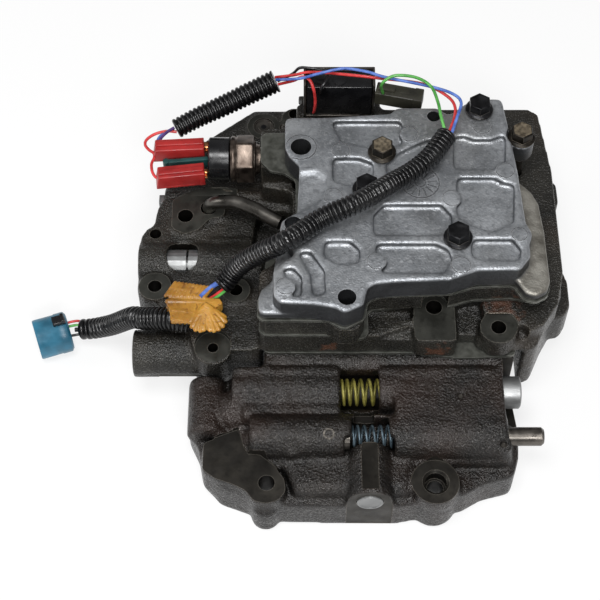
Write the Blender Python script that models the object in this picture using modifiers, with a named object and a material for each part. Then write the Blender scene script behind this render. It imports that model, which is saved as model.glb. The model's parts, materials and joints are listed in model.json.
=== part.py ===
"""Transmission valve body with its solenoid, pressure switch and wiring harness.

Metres, +Z up. The castings are stacked from the floor: lower body, thin plate, middle body,
thin plate, upper body, thin plate and the channel cover. X runs along the valve bores and
-Y is the front. Outlines are lists of corners in millimetres with rounded corners.
"""

import math

import bmesh
import bpy
from mathutils import Matrix, Vector

MM = 0.001

# Fits
GAP = 0.0003
BOLT_CLEARANCE = 0.0004

# Stack of castings and plates, from the floor up
LOWER_BODY_HEIGHT = 0.0432
PLATE_THICKNESS = 0.0015
MIDDLE_DECK_HEIGHT = 0.0146
UPPER_BODY_HEIGHT = 0.0122
COVER_HEIGHT = 0.0146
COVER_FLANGE_HEIGHT = 0.0052
POCKET_DEPTH = 0.0032
PAD_RISE = 0.0004

PLATE_C_BOTTOM = LOWER_BODY_HEIGHT + GAP
DECK_BOTTOM = PLATE_C_BOTTOM + PLATE_THICKNESS + GAP
DECK_TOP = DECK_BOTTOM + MIDDLE_DECK_HEIGHT
PLATE_B_BOTTOM = DECK_TOP + GAP
UPPER_BOTTOM = PLATE_B_BOTTOM + PLATE_THICKNESS + GAP
UPPER_TOP = UPPER_BOTTOM + UPPER_BODY_HEIGHT
PLATE_A_BOTTOM = UPPER_TOP + GAP
COVER_BOTTOM = PLATE_A_BOTTOM + PLATE_THICKNESS + GAP
COVER_TOP = COVER_BOTTOM + COVER_HEIGHT

# Lower body
BORE_Z = 0.0315
BORE_A_Y = -0.0533
BORE_A_RADIUS = 0.0084
BORE_A_LEFT = -0.0570
BORE_B_Y = -0.0777
BORE_B_RADIUS = 0.0070
BORE_B_LEFT = -0.0470
BORE_WALL = 0.0030
HOUSING_RIGHT = 0.0725
WINDOW_A = (-0.0070, 0.0112)
WINDOW_B = (-0.0018, 0.0158)
PAD_HEIGHT = 0.0280
LOWER_BASE_HEIGHT = 0.0300
MOUNT_HOLE_RADIUS = 0.0040
PAD_HOLE = (-0.0431, -0.1008)
CSK_HOLE = (0.0382, -0.1003)
CSK_BOSS_RADIUS = 0.0115
CSK_RADIUS = 0.0064
CSK_DEPTH = 0.0030
FRONT_BOSS_X = 0.0065
FRONT_BOSS_Z = 0.0250
FRONT_BOSS_RADIUS = 0.0108
FRONT_BOSS_FACE = -0.1100
FRONT_PLUG_RADIUS = 0.0064
FRONT_PLUG_LENGTH = 0.0040

# Middle body
LEFT_TOP = DECK_BOTTOM + 0.0017
LEFT_BOTTOM = LEFT_TOP - 0.0330
BOSS_RISE = 0.0020
BOSS_TOP = LEFT_TOP + BOSS_RISE
MANUAL_Y = 0.0170
MANUAL_Z = LEFT_TOP - 0.0070
MANUAL_BORE_RADIUS = 0.0080
MANUAL_BORE_LEFT = -0.1100
MANUAL_BORE_RIGHT = -0.0480
MANUAL_WINDOW = (-0.0948, -0.0790)
MANUAL_WINDOW_HALF_WIDTH = 0.0085
LEFT_BOSS_Y = -0.0300
LEFT_BOSS_Z = LEFT_TOP - 0.0170
LEFT_BOSS_RADIUS = 0.0120
ROUND_BOSS = (-0.0700, -0.0350)
ROUND_BOSS_RADIUS = 0.0095
LEFT_LUG = (-0.1000, -0.0020)
LEFT_LUG_RADIUS = 0.0085
LEFT_LUG_HOLE_RADIUS = 0.0035
FLAT_LUG_HOLE = (0.0386, -0.0213)
LUG_BOLT_ROOM = 0.0065
RIGHT_LUG_HOLE = (0.0697, -0.0322)
RIGHT_LUG_RADIUS = 0.0095
LUG_VALLEY_DEPTH = 0.0070
SOCKET_PLUG = (-0.0466, 0.1010)
SOCKET_PLUG_RADIUS = 0.0052
TUBE_RADIUS = 0.0031
TUBE_HOLE = (-0.0745, 0.0466)

# Cover
COVER_HOLE = (-0.0265, 0.0535)
COVER_HOLE_RADIUS = 0.0052
COVER_LUG_HOLE = (-0.0050, -0.0353)
COVER_EAR_HOLE = (0.0407, 0.0733)

# Hex flange bolts
BOLT_SHANK_RADIUS = 0.0030
BOLT_FLANGE_RADIUS = 0.0070
BOLT_FLANGE_HEIGHT = 0.0016
BOLT_HEX_ACROSS_FLATS = 0.0100
BOLT_HEAD_HEIGHT = 0.0066
BOLT_GRIP_IN_DECK = 0.0110
BOLT_BLACK_FRONT = (0.0487, -0.0018)
BOLT_BLACK_REAR = (0.0639, 0.0774)
BOLT_BROWN_LEFT = (0.0138, 0.0498)
BOLT_BROWN_RIGHT = (0.0845, 0.0620)
BOLT_UNDER_CONDUIT = (0.0056, 0.0268)
SIDE_BOSS_RADIUS = 0.0068
SIDE_BOSS_HEIGHT = 0.0112

# Valves, springs and plugs
VALVE_A_RIGHT = -0.0078
SPRING_A_RIGHT = 0.0250
SPRING_A_RADIUS = 0.0069
SPRING_A_WIRE = 0.0007
SPRING_A_TURNS = 8
VALVE_B_RIGHT = -0.0030
SPRING_B_RIGHT = 0.0220
SPRING_B_RADIUS = 0.0058
SPRING_B_WIRE = 0.0006
SPRING_B_TURNS = 6
SPRING_SEAT_LENGTH = 0.0040
BORE_PLUG_RIGHT = 0.0815
PLUG_PIN_X = 0.0511
PIN_RADIUS = 0.0013
PIN_GROOVE_DEPTH = 0.0030
PLUNGER_RADIUS = 0.0046
PLUNGER_RIGHT = 0.0912
PLUNGER_COLLAR_X = (0.0420, 0.0480)
SLEEVE_PIN_X = 0.0706
PLUNGER_SPRING_RADIUS = 0.0052
PLUNGER_SPRING_WIRE = 0.0005
PLUNGER_SPRING_TURNS = 5
MANUAL_VALVE = (-0.1060, -0.0560)

# Pressure switch and its connectors
SWITCH_Y = 0.0690
SWITCH_Z = DECK_TOP + 0.0016
SWITCH_FACE_X = -0.0475
SWITCH_HEX_ACROSS_FLATS = 0.0220
SWITCH_HEX_X = (-0.0600, -0.0508)
SWITCH_COLLAR_X = -0.0632
SWITCH_COLLAR_RADIUS = 0.0118
SWITCH_NECK_RADIUS = 0.0075
SWITCH_THREAD_RADIUS = 0.0060
SWITCH_THREAD_LENGTH = 0.0100
CAP_LEFT = -0.0744
CAP_RADIUS = 0.0112
DIVIDER_LEFT = -0.0990
DIVIDER_THICKNESS = 0.0024
DIVIDER_HEIGHT = 0.0130
PLUG_BODY = (0.0255, 0.0078, 0.0092)
TERMINAL_LENGTH = 0.0024

# Solenoid
SOLENOID_X = (-0.0251, 0.0122)
SOLENOID_Y = (0.0980, 0.1110)
SOLENOID_HEIGHT = 0.0255
SOLENOID_TOP = DECK_TOP + GAP + SOLENOID_HEIGHT
FRAME_WALL = 0.0013

# Harness
CONDUIT_RADIUS = 0.0053
TAIL_RADIUS = 0.0058
WIRE_RADIUS = 0.0008
BUNDLE_RADIUS = 0.0024
CONNECTOR_RADIUS = 0.0108
CONNECTOR_LENGTH = 0.0176
CONNECTOR_WALL = 0.0018
CONNECTOR_POINT = (-0.1475, -0.0050)
CONNECTOR_HEADING = math.radians(199)

# Routes in millimetres: heights are above the boss tops, the solenoid's top, the cover or the switch's axis
TUBE_ROUTE = [
    (-74.5, 46.6, -9), (-74.3, 46.0, 1), (-71.5, 43.8, 7.5), (-66, 42, 11.5),
    (-58.7, 40.3, 13), (-49.9, 35.7, 13.6), (-42.2, 30.6, 13.6), (-36.6, 27.4, 13.6),
]
# The upper conduit's heights are shares of its climb from the switch's axis to the solenoid's top
UPPER_CONDUIT_ROUTE = [
    (-92.4, 87.7, 0.062), (-80.3, 93.4, 0.186), (-66.5, 98.2, 0.3512), (-52.8, 102.9, 0.5372),
    (-39.6, 107, 0.7231),
]
MAIN_CONDUIT_ROUTE = [
    (45.8, 54.9, 8.3), (41, 47.5, 7.8), (36.8, 41.5, 7.4), (31.7, 36.3, 7), (25.1, 30.9, 6.9),
    (18.6, 25.9, 8), (12.5, 19.8, 10.5), (5.5, 13.2, 12.9), (-2.5, 8.2, 12.9), (-12.7, 5.7, 9),
    (-19.4, 2.8, 6.9), (-26.5, -2.5, 6.2), (-33.2, -6.9, 5.9), (-38.9, -7.7, 1.6), (-44.3, -6.2, -4.4),
    (-50.3, -5, -11.4), (-54.9, -3.5, -18.4), (-59.1, -3.2, -25.4), (-63.9, -8.3, -32.9),
]
BUNDLE_ROUTE = [(-64.6, -9.6, 8.2), (-66.2, -10.9, 7.8), (-67.8, -12.2, 7.4)]
WRAP_CENTRE = (-77.5, -19, 5.8)
# The tail's heights are shares of its drop from the wrap to the connector's middle
TAIL_ROUTE = [
    (-89, -24.4, 0.9682), (-91.4, -23.8, 0.9591), (-95.5, -22.6, 0.9273), (-100.5, -21, 0.8636),
    (-105.4, -19.2, 0.7955),
    (-110, -16.5, 0.725), (-114.4, -13.8, 0.5841), (-119, -11.2, 0.425), (-124, -8.6, 0.2659),
    (-129.5, -6.2, 0.1318), (-135.4, -4.8, 0.0409), (-141.5, -4.2, 0.0023),
]
TAIL_WIRES_ROUTE = [(-142.5, -4.2, 0.1), (-144.8, -4.4, 0), (-147, -4.9, 0)]
BLUE_ROUTE = [
    (-39.4, 106.1, -4.7), (-27, 100.5, 2.8), (-18.2, 99.9, 6.9), (-8.5, 101.2, 8.9), (-2.4, 101, 9.9),
    (7.8, 97.8, 10.9), (16.3, 93.7, 11.7), (38.8, 86.1, 13.3), (49.6, 80.8, 14.1), (53.8, 74.9, 14.5),
    (51.5, 65.7, 14.7), (47.7, 54.2, 14.1),
]
RED_A_ROUTE = [
    (-39.9, 109.1, -6.2), (-30.1, 106.2, -1.1), (-23.9, 105.5, 1.7), (-15.1, 103.6, 3.9),
    (-6.4, 101, 5.7), (4.4, 98.2, 7.3), (15.1, 96, 7.9), (26.7, 93.7, 8.7), (36.8, 90.6, 9.5),
    (44.6, 85, 10.3), (50.2, 77.7, 11.1), (50.7, 69.1, 11.3), (46.3, 55.3, 11.7),
]
RED_B_ROUTE = [
    (-38.3, 105.4, -7.5), (-30.1, 104.3, -3.2), (-26, 102.6, 1.7), (-22.3, 99.7, 2.9),
    (-20.3, 96.4, 0.8), (-19.2, 96.4, -7.1), (-19.1, 96.4, -14.6), (-19.8, 97.4, -20.8),
]
BLACK_ROUTE = [
    (-38.9, 108.3, -8.4), (-31.2, 110.6, -5.5), (-27.4, 109.4, 0.7), (-22.8, 108.4, 1.9),
    (-17.6, 107.7, 1.7), (-13, 105.5, 2.1), (-12.2, 101.7, 2.5), (-14.1, 98.2, 2.3), (-15.9, 96.3, 0.3),
    (-16.6, 97.4, -4.6),
]
GREEN_ROUTE = [
    (15.9, 93.7, -0.7), (14.9, 92.4, 4.3), (14.5, 89.7, 9.8), (16.1, 89.2, 14.3), (21.6, 91.1, 15.9),
    (31.6, 89.1, 16.7), (38.9, 82.6, 17.3), (41.8, 72.2, 17.7), (42.9, 63.6, 17.3), (44.6, 56.6, 15.1),
]
RED_LOOP_ROUTE = [
    (-91.9, 86.1, 0.1), (-95.6, 84.6, -1.3), (-100.6, 84.6, -1.7), (-105.8, 83.6, -1.7),
    (-108.8, 80.2, -1.5), (-108.6, 75.4, -1.7), (-107.4, 69, -2), (-106.8, 63, -2.2), (-105.6, 59, -2.3),
    (-103.4, 57.4, -2.3),
]
PURPLE_ROUTE = [
    (-93.2, 87.1, 3.3), (-95.4, 86.2, 3.7), (-99.4, 85.4, 4.3), (-103.2, 83.6, 4.1), (-105, 80.8, 3.6),
    (-105, 78.4, 3.2), (-103.4, 77.6, 2.9),
]
BLUE_LOOP_ROUTE = [
    (-93.4, 89.1, 0.5), (-97.2, 87.4, 0.1), (-101.6, 87.6, 0.9), (-105.6, 86, 1.5), (-107.2, 83, 1.4),
    (-106, 80.7, 1.1), (-103.4, 80, 1),
]

# Outlines seen from above, in millimetres, clockwise or anticlockwise
LOWER_FOOTPRINT = [
    (-82.5, -43.4), (-82.5, -67), (-77, -79), (-75, -90), (-66, -100), (-53, -105), (-33, -109.5),
    (20, -110), (30, -108), (52, -104), (62, -98), (77, -94), (80, -84), (81.5, -66), (79, -44),
    (79, 20), (-44.8, 20), (-44.8, -43.4),
]
LOWER_SHELF = [
    (-64, -42), (-64, -74), (-52, -84), (-48, -86), (-34, -94), (-30, -106), (26, -106),
    (28, -90), (76, -90), (78, -60), (77, -44),
]
LOWER_FLANGE = [(-44.8, 20), (-44.8, -44.5), (-60, -44.5), (-60, -48), (73, -48), (78.5, -44), (78.5, 20)]
LEFT_PAD = [
    (-74.5, -79.4), (-57, -72.3), (-54.4, -81.6), (-52.2, -85.4), (-46.4, -86), (-39.5, -91.8),
    (-34.2, -98.6), (-33.7, -105), (-37, -110), (-43, -112), (-49.4, -110.4), (-53.6, -104.6),
    (-59.1, -101.9), (-68, -98.7), (-74.5, -94),
]
MIDDLE_DECK = [
    (-46.8, -38), (29, -38), (29, -40.8), (49, -40.8), (49, -36), (58, -36), (66, -38), (80, -38),
    (92, -31), (100, -19), (104, 0), (104, 62), (100, 100), (95, 104), (16, 104), (16, 113.6),
    (-29, 113.6), (-29, 92), (-46.8, 90), (-46.8, 52), (-31, 49), (-31, 14), (-38, 6), (-46.8, 0),
]
DECK_RECESS = [(5.5, -19.5), (28.3, -19.5), (28.3, -27.6), (22.6, -28.6), (14.7, -31.4), (5.5, -33.5)]
DECK_SHELF = [(12, -37.2), (27.8, -31.8), (27.8, -45), (12, -45)]
LUG_VALLEY = [
    (49.2, -46), (49.2, -19), (58, -16.5), (62.5, -16.5), (62.5, -25), (79, -25), (79, -29.5),
    (84, -33), (84, -46),
]
LEFT_BLOCK = [
    (-45.4, -38), (-80, -38), (-82, -24), (-91, -22), (-99, -10), (-109, -6), (-109, 30.7),
    (-102.6, 37.6),
    (-101.3, 47.9), (-98.2, 54.3), (-98, 62), (-82, 76), (-80, 91), (-52, 113.6), (-26, 113.6),
    (-26, 26), (-45.4, 26),
]
PIT = [(-47, 46), (-31.6, 46), (-31.6, 16), (-41, 12), (-52, 20), (-50, 40)]
BOSS_FACE = [
    (-93.8, 52.4), (-84, 56.5), (-70, 57), (-65.4, 49), (-66, 41.4), (-74, 39.5), (-79, 33), (-86, 29.8),
    (-93.4, 33.5),
]
RAISED_PANEL = [(-73, 28.4), (-48.2, 28.4), (-48.2, 19), (-73, 19)]
REAR_BLOCK = [(-30, 24), (98, 24), (104, 40), (104, 62), (100, 100), (95, 104), (-30, 104)]
RIGHT_BLOCK = [(82.5, 26), (82.5, -39), (89, -37.5), (96, -22), (104, -8), (104, 26)]
RIGHT_LOBE_REAR = [(98, 72), (107.5, 71.5), (109.6, 68), (109.8, 58), (107, 48), (98, 44)]
RIGHT_LOBE_FRONT = [(98, 22), (107, 16), (109.8, 6), (109.6, -8), (106, -14), (98, -16)]
UPPER_BODY = [
    (-46.5, -10), (-46.5, -37.6), (-13, -38), (-10, -43.4), (0, -43.4), (3.6, -36), (4.5, -24),
    (44, -22), (57, -18), (76, -17), (92, -20), (92, 25), (84, 36), (82, 84), (50, 82),
    (-28.8, 72), (-28.8, 13), (-36, 4), (-40, -6),
]
COVER_FLANGE = [
    (-46.9, -38.4), (-46.9, -29), (-45.4, -24.6), (-40.6, -20), (-38, 0), (0, 30), (70, 50),
    (82.9, 38.6), (88, 33), (91, 26), (92.4, 10), (92.8, -20), (90.8, -25.6), (85.2, -28.4),
    (80.6, -27), (75.6, -18.6), (57, -19.6), (44, -23.4), (11.5, -24.8), (4.6, -28), (3, -37),
    (-6, -43.2), (-14, -38.8),
]
COVER_OUTLINE = [
    (-34.6, 72.8), (-14.3, 73.1), (19.1, 75.6), (21.8, 79.3), (43.2, 79.3), (48.4, 74.2), (57, 82),
    (69.5, 85.3), (76.1, 85.3), (78.4, 64), (80.7, 38), (82.2, 8), (84.9, 1.2), (82.9, -5.3),
    (83, -12), (77.5, -19.6), (57.2, -20), (43.6, -25.3), (17.7, -26.4), (8.6, -27.5), (4.7, -29.8),
    (2.9, -39), (-6.1, -43.6), (-11, -40.7), (-20.7, -38.9), (-36.6, -38.1), (-39.6, -34),
    (-39.8, -20), (-35, -14.5), (-29, -11), (-36.9, 3), (-36, 8.8), (-28.5, 14), (-27.4, 42),
    (-32.5, 47.9), (-34.6, 53),
]
PLATE_A = [
    (-47.1, 74.5), (-47, 56), (-42, 50), (-34.8, 48.4), (-29.2, 44), (-28.9, 14.4), (-37.4, 7),
    (-38, 0), (-36, -10), (-41.4, -20), (-47.4, -27), (-47.4, -39), (-14, -39.2), (-6, -44), (4, -38),
    (5.6, -28.4), (12, -25.4), (45, -24), (57, -20.2), (75, -19.2), (80, -27.6), (85.3, -29),
    (91.4, -26), (93.4, -20), (93, 10), (91.6, 26), (83.4, 39.4), (81, 64), (79, 86), (69, 86),
    (56, 82.6), (48.4, 75), (43.4, 80), (21, 80), (18, 76.4), (-14, 74.5),
]
PLATE_B = [
    (-46.9, -10), (-46.9, -38.5), (-12.4, -38.5), (-9, -40.4), (3, -40.4), (6, -38.5), (6, -24.6),
    (28.6, -21.6), (44, -22.6), (57, -18.6), (76, -17.6), (93, -20.6), (93, 25.4), (85, 36.6),
    (83, 84.6), (50, 82.6), (-29.2, 72.6), (-29.2, 12), (-38, 3), (-42, -6),
]
PLATE_C = [(-44.9, 19), (-44.9, -38.4), (29, -38.6), (49, -41.2), (60, -41.2), (79, -40), (79.4, 19)]

POCKETS = {
    "rear_left": [(-11.8, 70.6), (24.6, 70.6), (24.2, 55), (8, 53.6), (-6, 57)],
    "centre_left": [(-10.8, 47.2), (2, 47.2), (9.4, 44), (9.2, 36), (-3, 30), (-10.9, 33)],
    "rear_right": [
        (50.2, 61), (56, 61), (60, 59), (69, 59), (73, 61), (76.3, 61), (74.8, 44), (70, 40), (48.9, 40)
    ],
    "right": [(50.3, 35), (69, 35), (73, 32), (78.4, 31), (76.4, 8), (66, 2), (56, 6), (49, 12)],
    "centre": [(14, 18.6), (42, 18.6), (46.6, 12), (46.4, 5), (42, 0.4), (8.4, 0.4), (8.4, 12)],
    "front_right": [(56, -2), (75, -2), (78.6, -8), (77.6, -14.2), (60, -14.2), (54.9, -12), (54.9, -6)],
    "front": [(9.2, -4.6), (38, -4.6), (44, -8), (45.4, -14), (41, -21.4), (13, -21.4), (9, -18)],
    "centre_front": [(-15.4, -3), (-3, -3), (1.6, -8), (1.4, -15.6), (-9, -16.4), (-15.6, -12)],
    "channel_a": [(-28.2, -9.4), (-22, -9.2), (-15.4, -20), (-15, -33), (-21, -35), (-22.2, -22)],
    "channel_b": [(-35.8, -19), (-30, -18.6), (-26, -24), (-26, -34.6), (-31, -34.8), (-32, -27)],
}


def clear_scene():
    for old in list(bpy.data.objects):
        bpy.data.objects.remove(old, do_unlink=True)


clear_scene()
PARTS = bpy.data.collections.new("transmission_valve_body")
CUTTERS = bpy.data.collections.new("cutters")
bpy.context.scene.collection.children.link(PARTS)
bpy.context.scene.collection.children.link(CUTTERS)


# Materials
def material(name, colour, roughness, metallic):
    made = bpy.data.materials.new(name)
    made.use_nodes = True
    shader = made.node_tree.nodes["Principled BSDF"]
    shader.inputs["Base Color"].default_value = (*colour, 1.0)
    shader.inputs["Roughness"].default_value = roughness
    shader.inputs["Metallic"].default_value = metallic
    return made


DARK_IRON = material("dark_cast_iron", (0.035, 0.030, 0.027), 0.55, 0.6)
BROWN_IRON = material("oily_brown_iron", (0.030, 0.022, 0.018), 0.45, 0.6)
ALUMINIUM = material("die_cast_aluminium", (0.30, 0.31, 0.33), 0.45, 0.85)
PLATE_STEEL = material("plate_steel", (0.12, 0.12, 0.10), 0.45, 0.8)
BLACK_STEEL = material("black_bolt_steel", (0.020, 0.020, 0.022), 0.40, 0.7)
BROWN_STEEL = material("worn_bolt_steel", (0.18, 0.14, 0.10), 0.45, 0.8)
BRIGHT_STEEL = material("bright_steel", (0.60, 0.60, 0.61), 0.25, 1.0)
GREY_STEEL = material("grey_steel", (0.20, 0.19, 0.18), 0.35, 0.9)
YELLOW_SPRING = material("yellow_spring_steel", (0.32, 0.29, 0.09), 0.40, 0.8)
BLUE_SPRING = material("blue_grey_spring_steel", (0.15, 0.21, 0.25), 0.40, 0.8)
BLACK_PLASTIC = material("black_plastic", (0.010, 0.010, 0.011), 0.35, 0.0)
RED_PLASTIC = material("red_plastic", (0.38, 0.02, 0.025), 0.40, 0.0)
TEAL_PLASTIC = material("dark_teal_plastic", (0.05, 0.09, 0.10), 0.45, 0.0)
BLUE_PLASTIC = material("blue_plastic", (0.03, 0.13, 0.22), 0.40, 0.0)
OLIVE_PLASTIC = material("olive_plastic", (0.05, 0.048, 0.028), 0.50, 0.0)
COPPER = material("copper", (0.60, 0.28, 0.14), 0.30, 1.0)
AMBER_TAPE = material("amber_tape", (0.45, 0.22, 0.03), 0.50, 0.0)
WIRE_BLUE = material("blue_wire", (0.09, 0.18, 0.55), 0.40, 0.0)
WIRE_RED = material("red_wire", (0.60, 0.04, 0.04), 0.40, 0.0)
WIRE_GREEN = material("green_wire", (0.08, 0.38, 0.07), 0.40, 0.0)
WIRE_BLACK = material("black_wire", (0.012, 0.012, 0.012), 0.40, 0.0)
WIRE_PURPLE = material("purple_wire", (0.10, 0.05, 0.22), 0.40, 0.0)


# Helpers
def put(name, mesh, where=PARTS):
    obj = bpy.data.objects.new(name, mesh)
    where.objects.link(obj)
    if where == CUTTERS:
        obj.hide_render = True
        obj.display_type = "WIRE"
    return obj


def finish(obj, look):
    """A finished sub-part: its material, and smooth shading with sharp creases."""
    obj.data.materials.clear()
    obj.data.materials.append(look)
    if obj.type == "MESH":
        obj.data.shade_smooth()
        obj.data.set_sharp_from_angle(angle=math.radians(35))
    return obj


def mesh_of(name, build):
    bm = bmesh.new()
    build(bm)
    mesh = bpy.data.meshes.new(name)
    bm.to_mesh(mesh)
    bm.free()
    return mesh


def box(name, x, y, z, where=CUTTERS):
    """A block between the limits x, y and z."""
    middle = Vector(((x[0] + x[1]) / 2, (y[0] + y[1]) / 2, (z[0] + z[1]) / 2))
    size = Matrix.Diagonal((x[1] - x[0], y[1] - y[0], z[1] - z[0], 1))
    place = Matrix.Translation(middle) @ size
    return put(name, mesh_of(name, lambda bm: bmesh.ops.create_cube(bm, size=1, matrix=place)), where)


def cone(name, radii, ends, turn, sides=16, where=CUTTERS):
    """A cylinder or cone between two ends on its axis; turn lays +Z along that axis."""
    middle = (Vector(ends[0]) + Vector(ends[1])) / 2
    length = (Vector(ends[1]) - Vector(ends[0])).length
    place = Matrix.Translation(middle) @ turn

    def build(bm):
        bmesh.ops.create_cone(
            bm, cap_ends=True, segments=sides, radius1=radii[0], radius2=radii[1],
            depth=length, matrix=place
        )

    return put(name, mesh_of(name, build), where)


UPRIGHT = Matrix.Identity(4)
ALONG_X = Matrix.Rotation(math.radians(90), 4, "Y")
ALONG_Y = Matrix.Rotation(math.radians(-90), 4, "X")


def post(name, centre, radius, z, sides=16, where=CUTTERS, top_radius=None):
    top = radius if top_radius is None else top_radius
    ends = ((*centre, z[0]), (*centre, z[1]))
    return cone(name, (radius, top), ends, UPRIGHT, sides, where)


def bar_x(name, radius, x, y, z, sides=20, where=CUTTERS):
    return cone(name, (radius, radius), ((x[0], y, z), (x[1], y, z)), ALONG_X, sides, where)


def bar_y(name, radius, x, y, z, sides=20, where=CUTTERS):
    return cone(name, (radius, radius), ((x, y[0], z), (x, y[1], z)), ALONG_Y, sides, where)


def rectangle(x, y):
    """The corners in millimetres of a rectangle between limits in metres."""
    return [(x[i] / MM, y[j] / MM) for i, j in ((0, 0), (1, 0), (1, 1), (0, 1))]


def rounded(corners, radius, steps):
    """The corners of an outline, each replaced by a short arc."""
    points = []
    count = len(corners)
    for i in range(count):
        before = Vector(corners[i - 1])
        corner = Vector(corners[i])
        after = Vector(corners[(i + 1) % count])
        back = before - corner
        ahead = after - corner
        turn = math.pi - back.angle(ahead)
        if turn < math.radians(28):
            points.append(corner)
            continue
        reach = min(radius * math.tan(turn / 2), 0.45 * back.length, 0.45 * ahead.length)
        start = corner + back.normalized() * reach
        end = corner + ahead.normalized() * reach
        for k in range(steps + 1):
            t = k / steps
            points.append(start * (1 - t) ** 2 + corner * 2 * t * (1 - t) + end * t**2)
    return points


def outline_mesh(name, corners, z, radius=2.0, edge=0.0, steps=2):
    """A flat outline in millimetres, extruded between two heights, with edges rounded by edge."""
    curve = bpy.data.curves.new(name, "CURVE")
    curve.dimensions = "2D"
    curve.fill_mode = "BOTH"
    spline = curve.splines.new("POLY")
    points = rounded(corners, radius, steps)
    spline.points.add(len(points) - 1)
    for spot, point in zip(spline.points, points):
        spot.co = (point.x * MM, point.y * MM, 0, 1)
    spline.use_cyclic_u = True
    curve.extrude = (z[1] - z[0]) / 2 - edge
    curve.bevel_depth = edge
    curve.bevel_resolution = 0
    curve.offset = -edge
    holder = bpy.data.objects.new(name, curve)
    PARTS.objects.link(holder)
    holder.location.z = (z[0] + z[1]) / 2
    bpy.context.view_layer.update()
    graph = bpy.context.evaluated_depsgraph_get()
    mesh = bpy.data.meshes.new_from_object(holder.evaluated_get(graph))
    mesh.transform(holder.matrix_world)
    bpy.data.objects.remove(holder)
    bpy.data.curves.remove(curve)
    bm = bmesh.new()
    bm.from_mesh(mesh)
    bmesh.ops.remove_doubles(bm, verts=bm.verts, dist=0.000005)
    bmesh.ops.recalc_face_normals(bm, faces=bm.faces)
    bm.to_mesh(mesh)
    bm.free()
    return mesh


def slab(name, corners, z, radius=2.0, edge=0.0, where=CUTTERS, steps=2):
    return put(name, outline_mesh(name, corners, z, radius, edge, steps), where)


def boolean(obj, other, operation):
    step = obj.modifiers.new(f"{operation.lower()} {other.name}", "BOOLEAN")
    step.operation = operation
    step.object = other
    step.solver = "EXACT"


def fuse(obj, *others):
    for other in others:
        boolean(obj, other, "UNION")
    return obj


def cut(obj, *others):
    for other in others:
        boolean(obj, other, "DIFFERENCE")
    return obj


def turned(name, profile, location, turn, look, steps=20, closed=False):
    """A turned piece: the profile holds (radius, height) from its top centre to its bottom centre."""
    mesh = bpy.data.meshes.new(name)
    points = [(radius, 0, height) for radius, height in profile]
    edges = [(i, i + 1) for i in range(len(points) - 1)]
    if closed:
        edges.append((len(points) - 1, 0))
    mesh.from_pydata(points, edges, [])
    obj = put(name, mesh)
    screw = obj.modifiers.new("turn", "SCREW")
    screw.steps = steps
    screw.render_steps = steps
    screw.use_merge_vertices = True
    screw.merge_threshold = 0.000005
    obj.matrix_world = Matrix.Translation(location) @ turn
    obj.data.materials.append(look)
    return obj


def smooth_path(route, step, level):
    """Evenly spaced points on a smooth curve through a route in millimetres, its heights above level."""
    knots = [Vector((x * MM, y * MM, level + z * MM)) for x, y, z in route]
    knots = [knots[0] * 2 - knots[1], *knots, knots[-1] * 2 - knots[-2]]
    fine = []
    for a, b, c, d in zip(knots, knots[1:], knots[2:], knots[3:]):
        for k in range(12):
            t = k / 12
            fine.append(
                0.5 * (2 * b + (c - a) * t + (2 * a - 5 * b + 4 * c - d) * t**2 + (3 * b - a - 3 * c + d) * t**3)
            )
    fine.append(knots[-2])
    along = [0.0]
    for a, b in zip(fine, fine[1:]):
        along.append(along[-1] + (b - a).length)
    count = max(2, round(along[-1] / step))
    points = []
    k = 0
    for i in range(count + 1):
        want = along[-1] * i / count
        while k < len(fine) - 2 and along[k + 1] < want:
            k += 1
        share = (want - along[k]) / max(along[k + 1] - along[k], 1e-9)
        points.append(fine[k].lerp(fine[k + 1], min(1, share)))
    return points


def tube(name, points, radius, look, resolution=2):
    """A solid round tube along the points, with closed ends."""
    curve = bpy.data.curves.new(name, "CURVE")
    curve.dimensions = "3D"
    spline = curve.splines.new("POLY")
    spline.points.add(len(points) - 1)
    for spot, point in zip(spline.points, points):
        spot.co = (*point, 1)
    curve.bevel_depth = radius
    curve.bevel_resolution = resolution
    curve.use_fill_caps = True
    return finish(put(name, curve), look)


def wire(name, route, level, look):
    return tube(name, smooth_path(route, 0.0045, level), WIRE_RADIUS, look, 1)


def coil(name, x, y, z, radius, wire_radius, turns, look):
    """A coil spring between the limits x, its turns closing up at both ends."""
    steps = 8
    count = round(turns * steps)
    start = x[0] + wire_radius
    length = x[1] - x[0] - 2 * wire_radius
    points = []
    for i in range(count + 1):
        share = i / count
        angle = 2 * math.pi * turns * share
        along = start + length * (share - 0.035 * math.sin(2 * math.pi * share))
        reach = radius - wire_radius
        points.append(Vector((along, y + reach * math.cos(angle), z + reach * math.sin(angle))))
    return tube(name, points, wire_radius, look, 1)


# Castings
def bolt_holes(obj, places, z):
    for i, place in enumerate(places):
        cut(obj, post(f"{obj.name}_bolt_hole_{i}", place, BOLT_SHANK_RADIUS + BOLT_CLEARANCE, z, 12))


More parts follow.
